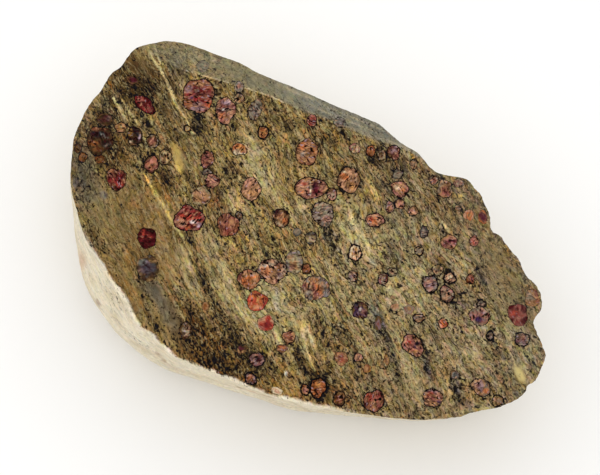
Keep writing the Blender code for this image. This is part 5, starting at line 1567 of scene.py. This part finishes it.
def garnet_material():
    """Garnet: patches of its painted tones, curved cracks, inclusions and a dark rim."""
    garnet, g = new_material("garnet")
    spot, tone = g.attribute("flow"), g.attribute("tone", "Color")
    distance, strength, _ = g.split(g.attribute("rim"))
    drawn = g.noises(spot, GARNET_NOISES)
    patches = drawn["patches"]
    crisp = g.step(strength, 0.1, 0.7, 0.2, 1.0)
    light = g.add_to(g.add_to(-3.15, patches, 4.8), drawn["fine"], 1.4)
    light = g.largest(g.add_to(0.98, light, crisp), 0.25)
    light = g.product(light, g.step(distance, 0.0, 4.0, 0.86, 1.02))
    colour = g.lit(tone, light)
    bright = g.product(g.step(g.split(tone)[0], 0.04, 0.24, 0.1, 1.0), crisp)
    bright = g.product(bright, 0.75)
    for name, start, full, share, cloud in CLOUDS:
        cloudy = g.product(g.step(drawn[name], start, full), g.product(bright, share))
        colour = g.mix(cloudy, colour, opaque(cloud))
    cracks = g.less(g.add_to(-0.160, drawn["breaks"], 0.34), g.off_middle(drawn["bends"]))
    plummy = g.product(g.step(cracks, -0.07, 0.01), 0.6)
    colour = g.mix(g.product(plummy, crisp), colour, opaque("blood"))
    dark = g.product(g.step(cracks, -0.01, 0.03), crisp)
    dark = g.largest(dark, dark_rim(g, distance, strength, spot, 0.8))
    colour = g.mix(dark, colour, opaque("black"))
    rough = g.add_to(0.12, patches, 0.08)
    g.finish(SHADER, Base_Color=colour, Roughness=rough, Specular_IOR_Level=GLOSS)
    return garnet


# ------------------------------------------------------------------- floor, light, camera
def make_floor():
    """A wide pale sheet of matt card under the specimen."""
    card, g = new_material("card")
    g.finish(SHADER, Base_Color=FLOOR_TONE, Roughness=FLOOR_ROUGHNESS)
    bpy.ops.mesh.primitive_plane_add(size=FLOOR_SIZE, location=(0, 0, 0))
    floor = bpy.context.object
    floor.name = "floor"
    floor.data.materials.append(card)


def make_sky():
    """Soft studio surround: bright round the sides, darker overhead."""
    world = bpy.data.worlds.new("studio")
    bpy.context.scene.world = world
    world.use_nodes = True
    g = Graph(world.node_tree)
    height = g.split(g.node("ShaderNodeTexCoord", ()).outputs["Generated"])[2]
    stops = [(position, (level, level, level)) for position, level in SKY]
    g.finish("Background", Color=g.ramp(height, stops))


def link_new(name, data):
    """A new object in the scene."""
    obj = bpy.data.objects.new(name, data)
    bpy.context.scene.collection.objects.link(obj)
    return obj


def make_light():
    """A square soft light that faces the specimen and leaves no glare on its polish."""
    data = bpy.data.lights.new("overhead", "AREA")
    data.size, data.energy = LIGHT_SIZE, LIGHT_POWER
    lamp = link_new("overhead", data)
    level = math.cos(LIGHT_RISE)
    away = Vector((math.sin(LIGHT_TURN) * level, math.cos(LIGHT_TURN) * level,
                   math.sin(LIGHT_RISE)))
    lamp.location = away * LIGHT_DISTANCE
    lamp.rotation_euler = away.to_track_quat("Z", "Y").to_euler()
    lamp.visible_glossy = False


def make_camera():
    """A long lens that looks down at the layout's own angle, framed on its sheet."""
    data = bpy.data.cameras.new("camera")
    data.lens, data.sensor_width = LENS, SENSOR
    camera = link_new("camera", data)
    back = Vector((0, -math.cos(LEAN), math.sin(LEAN)))
    distance = FRAME_COLS * GRID * MM * LENS / SENSOR
    target = Vector(place(FRAME_COLS / 2, FRAME_ROWS / 2, THICKNESS)) * MM
    camera.location = target + back * distance
    camera.rotation_euler = back.to_track_quat("Z", "Y").to_euler()
    bpy.context.scene.camera = camera


def build():
    """Dress every node of the frame, add the small garnets, and set the studio."""
    crystals = read_crystals()
    schist, garnet = rock_material(), garnet_material()
    rock = make_rock(crystals, schist)
    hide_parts("matrix")
    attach(rock, "root")
    for name in sorted({crystal.name for crystal in crystals}):
        members = [crystal for crystal in crystals if crystal.name == name]
        obj = make_sections(f"{name}_section", members, garnet)
        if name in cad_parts:
            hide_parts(name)
        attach(obj, "root")
    make_floor()
    make_sky()
    make_light()
    make_camera()
    bpy.context.scene.view_settings.view_transform = "Standard"


build()
